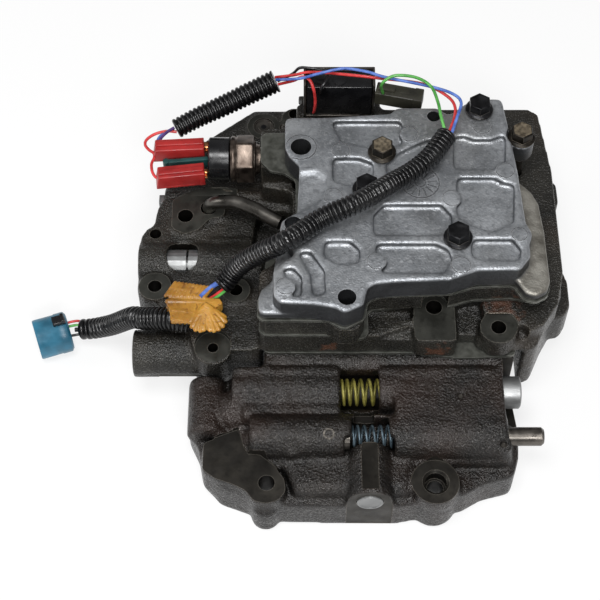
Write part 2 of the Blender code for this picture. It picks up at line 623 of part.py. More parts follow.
def make_lower_body():
    """The brown casting in front: two valve bores, three mounting pads and the front boss."""
    body = slab("lower_body", LOWER_FOOTPRINT, (0, LOWER_BASE_HEIGHT - 0.008), 4, 0.0, PARTS)
    ridge_a = BORE_A_RADIUS + BORE_WALL
    ridge_b = BORE_B_RADIUS + BORE_WALL + 0.001
    over = LOWER_BODY_HEIGHT + 0.0068
    fuse(
        body,
        slab("lower_shelf", LOWER_SHELF, (0.010, LOWER_BASE_HEIGHT), 4, 0.003),
        slab("lower_flange", LOWER_FLANGE, (0.011, LOWER_BODY_HEIGHT), 1.5),
        bar_x("ridge_a", ridge_a, (-0.0605, 0.030), BORE_A_Y, BORE_Z, 20),
        bar_x("ridge_b", ridge_b, (-0.0515, HOUSING_RIGHT - 0.0006), BORE_B_Y, BORE_Z, 20),
        box("housing", (0.0190, HOUSING_RIGHT), (BORE_B_Y, -0.0455), (0.0135, BORE_Z + ridge_b)),
        bar_y("left_bulge", 0.0096, -0.0729, (-0.0755, -0.0450), 0.0255, 16),
        slab("left_pad", LEFT_PAD, (0.0070, PAD_HEIGHT), 2.5),
        post("pad_foot", (-0.0437, -0.1062), 0.0074, (GAP, 0.0180), 16),
        post("csk_boss", CSK_HOLE, CSK_BOSS_RADIUS, (GAP, PAD_HEIGHT), 20),
        box("csk_web", (0.0150, 0.0300), (-0.1040, -0.0972), (0.0050, PAD_HEIGHT - GAP)),
        bar_y(
            "front_boss", FRONT_BOSS_RADIUS, FRONT_BOSS_X, (FRONT_BOSS_FACE, -0.0780), FRONT_BOSS_Z, 20
        ),
        box(
            "front_boss_foot",
            (FRONT_BOSS_X - 0.0100, FRONT_BOSS_X + 0.0100),
            (FRONT_BOSS_FACE + 0.0004, -0.0800),
            (0.0012, FRONT_BOSS_Z),
        ),
        post("pin_ear", (SLEEVE_PIN_X, BORE_B_Y - 0.0068), 0.0048, (0.0190, 0.0372), 20),
        bar_x(
            "sleeve_boss", BORE_B_RADIUS + 0.0026, (0.060, HOUSING_RIGHT + 0.0012), BORE_B_Y, BORE_Z, 18
        ),
        post("small_bump", (-0.0309, -0.0850), 0.0040, (0.0200, 0.0335), 14, CUTTERS, 0.0016),
    )
    cut(
        body,
        box(
            "front_strip",
            (0.0015, 0.0115),
            (-0.1065, -0.0790),
            (FRONT_BOSS_Z + FRONT_BOSS_RADIUS - 0.0008, over),
        ),
        box("valley", (-0.0430, 0.0700), (-0.0462, -0.0424), (LOWER_BODY_HEIGHT - 0.0016, over)),
        bar_x("bore_a", BORE_A_RADIUS, (BORE_A_LEFT, 0.090), BORE_A_Y, BORE_Z, 20),
        bar_x("bore_b", BORE_B_RADIUS, (BORE_B_LEFT, 0.090), BORE_B_Y, BORE_Z, 20),
        box("window_a", WINDOW_A, (BORE_A_Y - 0.0130, BORE_A_Y + 0.0076), (BORE_Z - 0.0030, over)),
        box("window_b", WINDOW_B, (BORE_B_Y - 0.0030, BORE_B_Y + 0.0066), (BORE_Z - 0.0020, over)),
        box("window_b_brow", WINDOW_B, (BORE_B_Y - 0.0100, BORE_B_Y - 0.0020), (BORE_Z + 0.0040, over)),
        bar_y("front_bore", FRONT_PLUG_RADIUS + GAP, FRONT_BOSS_X, (-0.125, -0.0960), FRONT_BOSS_Z, 18),
        post("pad_hole", PAD_HOLE, MOUNT_HOLE_RADIUS, (-0.005, over), 16),
        post("csk_bore", CSK_HOLE, MOUNT_HOLE_RADIUS, (-0.005, over), 16),
        post("flange_hole_a", FLAT_LUG_HOLE, MOUNT_HOLE_RADIUS, (-0.005, over), 16),
        post("flange_hole_b", RIGHT_LUG_HOLE, MOUNT_HOLE_RADIUS - 0.0003, (-0.005, over), 16),
        post("csk_sink", CSK_HOLE, CSK_RADIUS - 0.0014, (PAD_HEIGHT - CSK_DEPTH, PAD_HEIGHT + 0.001),
             24, CUTTERS,
             CSK_RADIUS + 0.0004),
        post(
            "plug_pin_hole",
            (PLUG_PIN_X, BORE_A_Y - BORE_A_RADIUS + 0.0011),
            PIN_RADIUS + GAP,
            (0.0160, over),
            12,
        ),
        post(
            "sleeve_pin_hole",
            (SLEEVE_PIN_X, BORE_B_Y - BORE_B_RADIUS - 0.0002),
            PIN_RADIUS + GAP,
            (0.0180, over),
            12,
        ),
    )
    return finish(body, BROWN_IRON)


def make_middle_body():
    """The widest casting: deck under the plates, left bores, rear block and mounting lugs."""
    body = slab("middle_body", MIDDLE_DECK, (DECK_BOTTOM, DECK_TOP), 2.5, 0.0, PARTS)
    manual_boss = MANUAL_BORE_RADIUS + BORE_WALL
    window_y = (MANUAL_Y - MANUAL_WINDOW_HALF_WIDTH, MANUAL_Y + MANUAL_WINDOW_HALF_WIDTH)
    low = LEFT_BOTTOM + 0.0060
    blind = LEFT_TOP - 0.0170
    over = UPPER_TOP + 0.0050
    bolts_in_deck = [BOLT_BLACK_FRONT, BOLT_BLACK_REAR, BOLT_BROWN_LEFT, BOLT_UNDER_CONDUIT]
    fuse(
        body,
        slab("left_block", LEFT_BLOCK, (LEFT_BOTTOM, LEFT_TOP), 5),
        slab("rear_block", REAR_BLOCK, (0.0060, DECK_BOTTOM + 0.004), 5),
        slab("right_block", RIGHT_BLOCK, (LEFT_BOTTOM, DECK_BOTTOM + 0.004), 5),
        slab("right_lobe_rear", RIGHT_LOBE_REAR, (low - 0.0020, DECK_BOTTOM - 0.0053), 4),
        slab("right_lobe_front", RIGHT_LOBE_FRONT, (low - 0.0020, DECK_BOTTOM - 0.0053), 4),
        bar_x("manual_boss", manual_boss, (MANUAL_BORE_LEFT + 0.0005, -0.0500), MANUAL_Y, MANUAL_Z, 20),
        bar_x("left_boss", LEFT_BOSS_RADIUS, (-0.1105, -0.0700), LEFT_BOSS_Y, LEFT_BOSS_Z, 20),
        post("round_boss", ROUND_BOSS, ROUND_BOSS_RADIUS, (low + 0.0030, LEFT_TOP - 0.0030), 20),
        post("left_lug", LEFT_LUG, LEFT_LUG_RADIUS, (low, BOSS_TOP), 18),
        slab("boss_face", BOSS_FACE, (blind, BOSS_TOP), 4),
        slab("raised_panel", RAISED_PANEL, (LEFT_TOP - 0.0070, BOSS_TOP - 0.0008), 1.5),
        post("plug_boss", SOCKET_PLUG, 0.0090, (blind, BOSS_TOP), 16),
        post("rear_left_ear", (-0.0297, 0.1060), 0.0075, (low, BOSS_TOP), 16),
        post("side_ear", (-0.1010, 0.0300), 0.0070, (low, LEFT_TOP + 0.0004), 14),
        post("inner_ear", (-0.0592, -0.0042), 0.0075, (blind, BOSS_TOP), 14),
        box(
            "switch_boss",
            (SWITCH_FACE_X + 0.0004, -0.0296),
            (0.0540, 0.0900),
            (LEFT_TOP - 0.0070, UPPER_TOP),
        ),
        post("rear_foot_left", (-0.0150, 0.0930), 0.0080, (0, low), 20),
        post("rear_foot_right", (0.0880, 0.0930), 0.0080, (0, low), 20),
        box("front_foot_right", (0.0860, 0.0960), (0.0020, 0.0200), (0, low)),
    )
    cut(
        body,
        box(
            "right_recess", (0.0500, 0.0590), (-0.0450, -0.0330), (DECK_BOTTOM - 0.005, DECK_TOP + 0.005)
        ),
        slab("deck_recess", DECK_RECESS, (DECK_TOP - 0.0080, DECK_TOP + 0.005), 2),
        slab("deck_shelf", DECK_SHELF, (DECK_TOP - 0.0030, DECK_TOP + 0.005), 1),
        slab("lug_valley", LUG_VALLEY, (DECK_TOP - LUG_VALLEY_DEPTH, DECK_TOP + 0.005), 2),
        slab("pit", PIT, (LEFT_TOP - 0.0100, LEFT_TOP + 0.005), 3),
        bar_x("manual_bore", MANUAL_BORE_RADIUS, (-0.130, MANUAL_BORE_RIGHT), MANUAL_Y, MANUAL_Z, 20),
        slab("manual_window", rectangle(MANUAL_WINDOW, window_y), (MANUAL_Z + 0.0010, over), 7),
        bar_x("left_boss_bore", 0.0070, (-0.130, -0.0850), LEFT_BOSS_Y, LEFT_BOSS_Z, 20),
        box(
            "left_boss_flat",
            (-0.1040, -0.0700),
            (-0.0480, LEFT_BOSS_Y - 0.0100),
            (LEFT_BOSS_Z - 0.0200, LEFT_BOSS_Z - 0.0010),
        ),
        post("round_boss_hole", ROUND_BOSS, 0.0027, (blind, over), 10),
        post("left_lug_hole", LEFT_LUG, LEFT_LUG_HOLE_RADIUS, (-0.005, over), 14),
        post("side_ear_hole", (-0.1015, 0.0312), 0.0030, (-0.005, over), 10),
        post("inner_ear_hole", (-0.0592, -0.0042), 0.0034, (blind + 0.0030, over), 10),
        post("boss_face_hole", (-0.0864, 0.0415), 0.0040, (blind + 0.0030, over), 12),
        post("tube_hole", TUBE_HOLE, TUBE_RADIUS + 0.0012, (LEFT_TOP - 0.0090, over), 14),
        post("rear_ear_hole", (-0.0297, 0.1095), 0.0034, (-0.005, over), 10),
        post("plug_bore", SOCKET_PLUG, SOCKET_PLUG_RADIUS + GAP, (BOSS_TOP - 0.0064, over), 24),
        bar_x("switch_bore", SWITCH_THREAD_RADIUS + GAP,
              (-0.060, SWITCH_FACE_X + SWITCH_THREAD_LENGTH + 0.001),
              SWITCH_Y, SWITCH_Z, 20),
        post("long_bolt_hole", COVER_HOLE, MOUNT_HOLE_RADIUS + 0.0002, (-0.005, over), 16),
        post("flat_lug_hole", FLAT_LUG_HOLE, MOUNT_HOLE_RADIUS, (LEFT_BOTTOM, over), 16),
        post(
            "side_bolt_hole",
            BOLT_BROWN_RIGHT,
            BOLT_SHANK_RADIUS + BOLT_CLEARANCE,
            (DECK_TOP - BOLT_GRIP_IN_DECK - 0.0050, over),
            12,
        ),
    )
    bolt_holes(body, bolts_in_deck, (DECK_TOP - BOLT_GRIP_IN_DECK - 0.0008, DECK_TOP + 0.005))
    fuse(
        body,
        post("right_lug", RIGHT_LUG_HOLE, RIGHT_LUG_RADIUS, (DECK_BOTTOM + 0.001, DECK_TOP - 0.0010), 20),
    )
    cut(
        body,
        post("right_lug_hole", RIGHT_LUG_HOLE, MOUNT_HOLE_RADIUS - 0.0003, (LEFT_BOTTOM, over), 16),
    )
    return finish(body, DARK_IRON)


def make_upper_body():
    body = slab("upper_body", UPPER_BODY, (UPPER_BOTTOM, UPPER_TOP), 3, 0.0, PARTS, 1)
    stack = (UPPER_BOTTOM - 0.005, UPPER_TOP + 0.005)
    cut(
        body,
        post("upper_lug_hole", COVER_LUG_HOLE, MOUNT_HOLE_RADIUS + 0.0003, stack, 16),
        post("upper_cover_hole", COVER_HOLE, MOUNT_HOLE_RADIUS + 0.0002, stack, 16),
        box("tube_seat", (-0.0400, -0.0266), (0.0240, 0.0320), stack),
        post("lug_bolt_room", FLAT_LUG_HOLE, LUG_BOLT_ROOM, stack, 24),
    )
    bolt_holes(
        body,
        [BOLT_BLACK_FRONT, BOLT_BLACK_REAR, BOLT_BROWN_LEFT, BOLT_BROWN_RIGHT, BOLT_UNDER_CONDUIT],
        stack,
    )
    return finish(body, DARK_IRON)


def make_plates():
    bolts = [BOLT_BLACK_FRONT, BOLT_BLACK_REAR, BOLT_BROWN_LEFT, BOLT_BROWN_RIGHT, BOLT_UNDER_CONDUIT]
    for name, corners, bottom in (
        ("cover_plate", PLATE_A, PLATE_A_BOTTOM),
        ("upper_plate", PLATE_B, PLATE_B_BOTTOM),
    ):
        plate = slab(name, corners, (bottom, bottom + PLATE_THICKNESS), 2.5, 0.0, PARTS, 1)
        reach = (bottom - 0.005, bottom + PLATE_THICKNESS + 0.005)
        cut(
            plate,
            post(f"{name}_lug_hole", COVER_LUG_HOLE, MOUNT_HOLE_RADIUS + 0.0003, reach, 16),
            post(f"{name}_long_bolt_hole", COVER_HOLE, MOUNT_HOLE_RADIUS + 0.0002, reach, 16),
        )
        bolt_holes(plate, bolts, reach)
        if name == "upper_plate":
            cut(plate, post("plate_bolt_room", FLAT_LUG_HOLE, LUG_BOLT_ROOM, reach, 24))
        finish(plate, PLATE_STEEL)
    lower = slab(
        "lower_plate", PLATE_C, (PLATE_C_BOTTOM, PLATE_C_BOTTOM + PLATE_THICKNESS), 2.5, 0.0, PARTS
    )
    reach = (PLATE_C_BOTTOM - 0.005, DECK_BOTTOM + 0.005)
    cut(
        lower,
        post("lower_plate_flat_hole", FLAT_LUG_HOLE, MOUNT_HOLE_RADIUS, reach, 16),
        post("lower_plate_right_hole", RIGHT_LUG_HOLE, MOUNT_HOLE_RADIUS - 0.0003, reach, 16),
    )
    finish(lower, PLATE_STEEL)


def make_cover():
    """The aluminium cover over the fluid channels, its pockets pressed down between ribs."""
    cover = slab("channel_cover", COVER_OUTLINE, (COVER_BOTTOM, COVER_TOP), 3, 0.0008, PARTS)
    all_through = (COVER_BOTTOM - 0.005, COVER_TOP + 0.005)
    fuse(
        cover,
        slab("cover_flange", COVER_FLANGE, (COVER_BOTTOM, COVER_BOTTOM + COVER_FLANGE_HEIGHT), 3, 0.0008),
        post(
            "side_boss",
            BOLT_BROWN_RIGHT,
            SIDE_BOSS_RADIUS,
            (COVER_BOTTOM, COVER_BOTTOM + SIDE_BOSS_HEIGHT),
            20,
        ),
    )
    for name, corners in POCKETS.items():
        cut(cover, slab(f"pocket_{name}", corners, (COVER_TOP - POCKET_DEPTH, COVER_TOP + 0.004), 2.6))
    fuse(
        cover,
        post(
            "cover_hole_ring",
            COVER_HOLE,
            COVER_HOLE_RADIUS + 0.0010,
            (COVER_TOP - 0.006, COVER_TOP + PAD_RISE),
            20,
        ),
    )
    cut(
        cover,
        post("cover_hole", COVER_HOLE, COVER_HOLE_RADIUS, all_through, 20),
        post("cover_lug_hole", COVER_LUG_HOLE, MOUNT_HOLE_RADIUS + 0.0004, all_through, 16),
        post("ear_hole", COVER_EAR_HOLE, 0.0034, (COVER_TOP - 0.010, COVER_TOP + 0.005), 12),
        post("notch_hole", (-0.0304, 0.0070), 0.0042, (COVER_TOP - 0.008, COVER_TOP + 0.005), 12),
    )
    seat = COVER_BOTTOM + SIDE_BOSS_HEIGHT
    cut(
        cover,
        post(
            "side_bolt_recess",
            BOLT_BROWN_RIGHT,
            BOLT_FLANGE_RADIUS + 0.0006,
            (seat, COVER_TOP + 0.005),
            20,
        ),
    )
    bolt_holes(
        cover,
        [BOLT_BLACK_FRONT, BOLT_BLACK_REAR, BOLT_BROWN_LEFT, BOLT_BROWN_RIGHT, BOLT_UNDER_CONDUIT],
        all_through,
    )
    return finish(cover, ALUMINIUM)


# Fasteners
def make_bolt(name, place, seat, tip, look):
    """A hex flange bolt whose flange rests on the height seat and whose tip is at the height tip."""
    under = seat + GAP
    bolt = post(name, place, BOLT_FLANGE_RADIUS, (under, under + BOLT_FLANGE_HEIGHT), 20, PARTS,
                BOLT_FLANGE_RADIUS - 0.0007)
    hex_radius = BOLT_HEX_ACROSS_FLATS / math.sqrt(3)
    fuse(
        bolt,
        post(f"{name}_hex", place, hex_radius, (under + 0.0004, under + BOLT_HEAD_HEIGHT), 6),
        post(f"{name}_shank", place, BOLT_SHANK_RADIUS, (tip, under + 0.0010), 12),
    )
    return finish(bolt, look)


def make_bolts():
    tip = DECK_TOP - BOLT_GRIP_IN_DECK
    make_bolt("cover_bolt_front", BOLT_BLACK_FRONT, COVER_TOP, tip, BLACK_STEEL)
    make_bolt("cover_bolt_rear", BOLT_BLACK_REAR, COVER_TOP, tip, BLACK_STEEL)
    make_bolt("cover_bolt_left", BOLT_BROWN_LEFT, COVER_TOP, tip, BROWN_STEEL)
    make_bolt("cover_bolt_centre", BOLT_UNDER_CONDUIT, COVER_TOP, tip, BLACK_STEEL)
    make_bolt(
        "cover_bolt_right", BOLT_BROWN_RIGHT, COVER_BOTTOM + SIDE_BOSS_HEIGHT, tip - 0.004, BROWN_STEEL
    )


# Valves, springs and plugs
def make_valve_train_a():
    """Bore A: a spool pushed left by the yellow spring, which bears on the bright bore plug."""
    land = BORE_A_RADIUS - GAP
    length = VALVE_A_RIGHT - BORE_A_LEFT - 0.0010
    stem = 0.0045
    turned(
        "shift_valve_a",
        [(0, length), (land, length), (land, length - 0.008), (stem, length - 0.008), (stem, 0.020),
         (land, 0.020), (land, 0.012), (stem, 0.012), (stem, 0.006), (land, 0.006), (land, 0), (0, 0)],
        (BORE_A_LEFT + 0.0007, BORE_A_Y, BORE_Z),
        ALONG_X,
        GREY_STEEL,
    )
    left = BORE_A_LEFT + 0.0007 + length + GAP
    coil("yellow_spring", (left, SPRING_A_RIGHT), BORE_A_Y, BORE_Z, SPRING_A_RADIUS, SPRING_A_WIRE,
         SPRING_A_TURNS, YELLOW_SPRING)
    start = SPRING_A_RIGHT + GAP
    groove = (
        PLUG_PIN_X - PIN_RADIUS - GAP - 0.0006 - start, PLUG_PIN_X + PIN_RADIUS + GAP + 0.0006 - start
    )
    reach = BORE_PLUG_RIGHT - start
    turned(
        "bore_plug",
        [(0, reach - 0.0016), (0.0050, reach - 0.0016), (0.0050, reach), (land - 0.0006, reach),
         (land, reach - 0.0006),
         (land, groove[1]), (land - PIN_GROOVE_DEPTH, groove[1]), (land - PIN_GROOVE_DEPTH, groove[0]),
         (land, groove[0]), (land, 0), (0, 0)],
        (start, BORE_A_Y, BORE_Z),
        ALONG_X,
        BRIGHT_STEEL,
    )
    finish(
        post("plug_pin", (PLUG_PIN_X, BORE_A_Y - BORE_A_RADIUS + 0.0011), PIN_RADIUS,
             (0.0165, BORE_Z + BORE_B_RADIUS + BORE_WALL - 0.0006), 12, PARTS),
        GREY_STEEL,
    )


def make_valve_train_b():
    """Bore B: a spool on the blue-grey spring and, from the right, the plunger on its own spring."""
    land = BORE_B_RADIUS - GAP
    start = BORE_B_LEFT + 0.0007
    length = VALVE_B_RIGHT - start
    stem = 0.0040
    turned(
        "shift_valve_b",
        [(0, length), (land, length), (land, length - 0.007), (stem, length - 0.007), (stem, 0.016),
         (land, 0.016), (land, 0.009), (stem, 0.009), (stem, 0.005), (land, 0.005), (land, 0), (0, 0)],
        (start, BORE_B_Y, BORE_Z),
        ALONG_X,
        GREY_STEEL,
    )
    coil("blue_spring", (VALVE_B_RIGHT + GAP, SPRING_B_RIGHT),
         BORE_B_Y, BORE_Z, SPRING_B_RADIUS, SPRING_B_WIRE,
         SPRING_B_TURNS, BLUE_SPRING)
    seat = SPRING_B_RIGHT + GAP
    turned(
        "spring_seat",
        [(0, SPRING_SEAT_LENGTH), (land, SPRING_SEAT_LENGTH), (land, 0), (0.0022, 0), (0.0022, -0.003),
         (0, -0.003)],
        (seat, BORE_B_Y, BORE_Z),
        ALONG_X,
        GREY_STEEL,
    )
    behind = seat + SPRING_SEAT_LENGTH + GAP
    coil("plunger_spring", (behind, PLUNGER_COLLAR_X[0] - GAP), BORE_B_Y, BORE_Z, PLUNGER_SPRING_RADIUS,
         PLUNGER_SPRING_WIRE, PLUNGER_SPRING_TURNS, GREY_STEEL)
    nose = PLUNGER_COLLAR_X[0]
    collar = PLUNGER_COLLAR_X[1] - nose
    reach = PLUNGER_RIGHT - nose
    turned(
        "throttle_plunger",
        [(0, reach), (PLUNGER_RADIUS - 0.0006, reach), (PLUNGER_RADIUS, reach - 0.0006),
         (PLUNGER_RADIUS, collar),
         (land, collar), (land, 0), (0, 0)],
        (nose, BORE_B_Y, BORE_Z),
        ALONG_X,
        GREY_STEEL,
    )
    sleeve_left = PLUNGER_COLLAR_X[1] + GAP
    sleeve = HOUSING_RIGHT + 0.0012 - sleeve_left
    pin = SLEEVE_PIN_X - sleeve_left
    bore = PLUNGER_RADIUS + GAP
    groove = land - 0.0012
    turned(
        "plunger_sleeve",
        [(bore, sleeve), (land, sleeve), (land, pin + PIN_RADIUS + 0.0008),
         (groove, pin + PIN_RADIUS + 0.0008),
         (groove, pin - PIN_RADIUS - 0.0008), (land, pin - PIN_RADIUS - 0.0008), (land, 0), (bore, 0)],
        (sleeve_left, BORE_B_Y, BORE_Z),
        ALONG_X,
        GREY_STEEL,
        closed=True,
    )
    finish(
        post("sleeve_pin", (SLEEVE_PIN_X, BORE_B_Y - BORE_B_RADIUS - 0.0002), PIN_RADIUS,
             (0.0185, 0.0368), 12, PARTS),
        GREY_STEEL,
    )


def make_manual_valve():
    land = MANUAL_BORE_RADIUS - GAP
    start = MANUAL_VALVE[0]
    length = MANUAL_VALVE[1] - start
    stem = 0.0042
    window = MANUAL_WINDOW[0] - start
    turned(
        "manual_valve",
        [(0, length), (land, length), (land, length - 0.008), (stem, length - 0.008),
         (stem, window + 0.0185),
         (land, window + 0.0185), (land, window + 0.0108), (stem, window + 0.0108),
         (stem, window + 0.0096),
         (land, window + 0.0096), (land, window - 0.004), (stem, window - 0.004), (stem, 0.003),
         (land, 0.003),
         (land, 0), (0, 0)],
        (start, MANUAL_Y, MANUAL_Z),
        ALONG_X,
        BRIGHT_STEEL,
    )


def make_plugs():
    plug = post(
        "socket_plug", SOCKET_PLUG, SOCKET_PLUG_RADIUS, (BOSS_TOP - 0.0060, BOSS_TOP - 0.0004), 24, PARTS
    )
    cut(plug, post("plug_socket", SOCKET_PLUG, 0.0022, (BOSS_TOP - 0.0034, BOSS_TOP + 0.002), 6))
    finish(plug, GREY_STEEL)
    disc = bar_y(
        "front_plug",
        FRONT_PLUG_RADIUS,
        FRONT_BOSS_X,
        (FRONT_BOSS_FACE - 0.0003, FRONT_BOSS_FACE + FRONT_PLUG_LENGTH),
        FRONT_BOSS_Z,
        24,
        PARTS,
    )
    finish(disc, BRIGHT_STEEL)
    tab = box(
        "edge_tab", (-0.1008, -0.0996), (0.0530, 0.0585), (LEFT_TOP - 0.0170, LEFT_TOP - 0.0030), PARTS
    )
    finish(tab, BRIGHT_STEEL)


def make_transfer_tube():
    tube("transfer_tube", smooth_path(TUBE_ROUTE, 0.0040, BOSS_TOP), TUBE_RADIUS, GREY_STEEL)


# Pressure switch, solenoid and their connectors
def make_switch():
    """A hex-bodied switch screwed into the boss, with a plastic cap and a divider between its terminals."""
    hex_radius = SWITCH_HEX_ACROSS_FLATS / math.sqrt(3)
    body = bar_x("switch_body", hex_radius, SWITCH_HEX_X, SWITCH_Y, SWITCH_Z, 6, PARTS)
    fuse(
        body,
        bar_x("switch_washer", hex_radius * 0.96, (SWITCH_HEX_X[0] - 0.0006, SWITCH_HEX_X[1] + 0.0006),
              SWITCH_Y, SWITCH_Z, 24),
        bar_x(
            "switch_collar",
            SWITCH_COLLAR_RADIUS,
            (SWITCH_COLLAR_X, SWITCH_HEX_X[0] + 0.001),
            SWITCH_Y,
            SWITCH_Z,
            28,
        ),
        bar_x(
            "switch_neck",
            SWITCH_NECK_RADIUS,
            (SWITCH_HEX_X[1] - 0.001, SWITCH_FACE_X - GAP),
            SWITCH_Y,
            SWITCH_Z,
            20,
        ),
        bar_x("switch_thread", SWITCH_THREAD_RADIUS,
              (SWITCH_HEX_X[1], SWITCH_FACE_X + SWITCH_THREAD_LENGTH),
              SWITCH_Y, SWITCH_Z, 20),
    )
    finish(body, BROWN_STEEL)
    cap = bar_x(
        "switch_cap", CAP_RADIUS, (CAP_LEFT, SWITCH_COLLAR_X - GAP), SWITCH_Y, SWITCH_Z, 28, PARTS
    )
    finish(cap, BLACK_PLASTIC)
    divider = box(
        "switch_divider",
        (DIVIDER_LEFT, CAP_LEFT - GAP),
        (SWITCH_Y - DIVIDER_THICKNESS / 2, SWITCH_Y + DIVIDER_THICKNESS / 2),
        (SWITCH_Z - DIVIDER_HEIGHT / 2, SWITCH_Z + DIVIDER_HEIGHT / 2),
        PARTS,
    )
    finish(divider, TEAL_PLASTIC)


def make_plug_body(name, right, y, turn_degrees):
    """A red plug body on the switch: a block with a raised rib, and its terminal blade."""
    length, width, height = PLUG_BODY
    terminal = box(
        f"{name}_terminal",
        (right + GAP, CAP_LEFT - GAP),
        (y - 0.0030, y + 0.0030),
        (SWITCH_Z - 0.0004, SWITCH_Z + 0.0004),
        PARTS,
    )
    finish(terminal, COPPER)
    body = box(name, (right - length, right), (y - width / 2, y + width / 2),
               (SWITCH_Z - height / 2, SWITCH_Z + height / 2), PARTS)
    rib = box(f"{name}_rib", (right - length + 0.0006, right - 0.0006), (y - 0.0016, y + 0.0016),
              (SWITCH_Z, SWITCH_Z + height / 2 + 0.0012))
    fuse(body, rib)
    about = Vector((right, y, SWITCH_Z))
    swing = Matrix.Translation(about) @ Matrix.Rotation(math.radians(turn_degrees),
                                                        4, "Z") @ Matrix.Translation(-about)
    body.data.transform(swing)
    rib.data.transform(swing)
    finish(body, RED_PLASTIC)


def make_solenoid():
    """A coil in a thin bent steel frame, standing on the deck behind the cover."""
    bottom = DECK_TOP + GAP
    top = SOLENOID_TOP
    frame = box("solenoid_frame", SOLENOID_X, SOLENOID_Y, (bottom, top), PARTS)
    inner = (SOLENOID_X[0] + FRAME_WALL, SOLENOID_X[1] - FRAME_WALL)
    cut(
        frame,
        box(
            "frame_inside",
            inner,
            (SOLENOID_Y[0] - 0.005, SOLENOID_Y[1] + 0.005),
            (bottom + FRAME_WALL, top - FRAME_WALL),
        ),
    )
    finish(frame, GREY_STEEL)
    block = box(
        "solenoid_coil",
        (inner[0] + GAP, inner[1] - GAP),
        (SOLENOID_Y[0] + 0.0006, SOLENOID_Y[1] - 0.0006),
        (bottom + FRAME_WALL + GAP, top - FRAME_WALL - GAP),
        PARTS,
    )
    finish(block, BLACK_PLASTIC)


def make_coil_connector():
    """The olive connector on the solenoid's right side."""
    left = SOLENOID_X[1] + GAP
    body = box("coil_connector", (0, 0.0245), (-0.0042, 0.0042), (-0.0042, 0.0042), PARTS)
    lug = box("coil_connector_latch", (0.0010, 0.0100), (-0.0020, 0.0020), (0.0030, 0.0058))
    fuse(body, lug)
    place = Matrix.Translation((left + 0.0001, SOLENOID_Y[0] + 0.0002, SOLENOID_TOP - 0.0057)) @ Matrix.Rotation(
        math.radians(-13), 4, "Z"
    )
    for piece in (body, lug):
        piece.data.transform(place)
    finish(body, OLIVE_PLASTIC)


# Harness
def make_case_connector():
    """The round connector at the harness end, open at its mating face, lying on the floor."""
    radius = CONNECTOR_RADIUS
    inside = radius - CONNECTOR_WALL
    length = CONNECTOR_LENGTH
    turn = Matrix.Rotation(CONNECTOR_HEADING, 4, "Z") @ ALONG_X
    turned(
        "case_connector",
        [(0, 0.0050), (inside, 0.0050), (inside, length), (radius - 0.0004, length),
         (radius - 0.0004, 0.0062),
         (radius, 0.0058), (radius, 0.0010), (radius - 0.0008, 0), (0, 0)],
        (*CONNECTOR_POINT, radius),
        turn,
        BLUE_PLASTIC,
        28,
    )
    clip = box("connector_clip", (-0.0034, 0.0034), (-0.0025, 0.0025), (-0.0012, 0.0028), PARTS)
    ahead = Vector((math.cos(CONNECTOR_HEADING), math.sin(CONNECTOR_HEADING), 0))
    spot = Vector((*CONNECTOR_POINT, radius * 2 + 0.0014)) + ahead * 0.0044
    clip.data.transform(Matrix.Translation(spot) @ Matrix.Rotation(CONNECTOR_HEADING, 4, "Z"))
    finish(clip, BLACK_PLASTIC)


def make_harness():
    wrap_z = BOSS_TOP + WRAP_CENTRE[2] * MM
    drop = (wrap_z - CONNECTOR_RADIUS) / MM
    tail = [(x, y, share * drop) for x, y, share in TAIL_ROUTE]
    climb = (SOLENOID_TOP - SWITCH_Z) / MM
    upper = [(x, y, share * climb) for x, y, share in UPPER_CONDUIT_ROUTE]
    tube("upper_conduit", smooth_path(upper, 0.0120, SWITCH_Z), CONDUIT_RADIUS, BLACK_PLASTIC)
    tube(
        "main_conduit", smooth_path(MAIN_CONDUIT_ROUTE, 0.0100, COVER_TOP), CONDUIT_RADIUS, BLACK_PLASTIC
    )
    tube("harness_wires", smooth_path(BUNDLE_ROUTE, 0.0060, BOSS_TOP), BUNDLE_RADIUS, WIRE_BLUE)
    tube("tail_conduit", smooth_path(tail, 0.0070, CONNECTOR_RADIUS), TAIL_RADIUS, BLACK_PLASTIC)
    tube("tail_wires", smooth_path(TAIL_WIRES_ROUTE, 0.0060, CONNECTOR_RADIUS), BUNDLE_RADIUS, WIRE_RED)
    wrap = box("harness_wrap", (-0.0122, 0.0122), (-0.0115, 0.0115), (-0.0085, 0.0085), PARTS)
    spot = Vector((WRAP_CENTRE[0] * MM, WRAP_CENTRE[1] * MM, wrap_z))
    wrap.data.transform(Matrix.Translation(spot) @ Matrix.Rotation(math.radians(35), 4, "Z"))
    soften = wrap.modifiers.new("soft", "SUBSURF")
    soften.levels = 2
    soften.render_levels = 2
    finish(wrap, AMBER_TAPE)
    wire("blue_wire", BLUE_ROUTE, SOLENOID_TOP, WIRE_BLUE)
    wire("red_wire_long", RED_A_ROUTE, SOLENOID_TOP, WIRE_RED)
    wire("red_wire_coil", RED_B_ROUTE, SOLENOID_TOP, WIRE_RED)
    wire("black_wire_coil", BLACK_ROUTE, SOLENOID_TOP, WIRE_BLACK)
    wire("green_wire", GREEN_ROUTE, SOLENOID_TOP, WIRE_GREEN)
    wire("red_wire_switch", RED_LOOP_ROUTE, SWITCH_Z, WIRE_RED)
    wire("purple_wire_switch", PURPLE_ROUTE, SWITCH_Z, WIRE_PURPLE)
    wire("blue_wire_switch", BLUE_LOOP_ROUTE, SWITCH_Z, WIRE_BLUE)


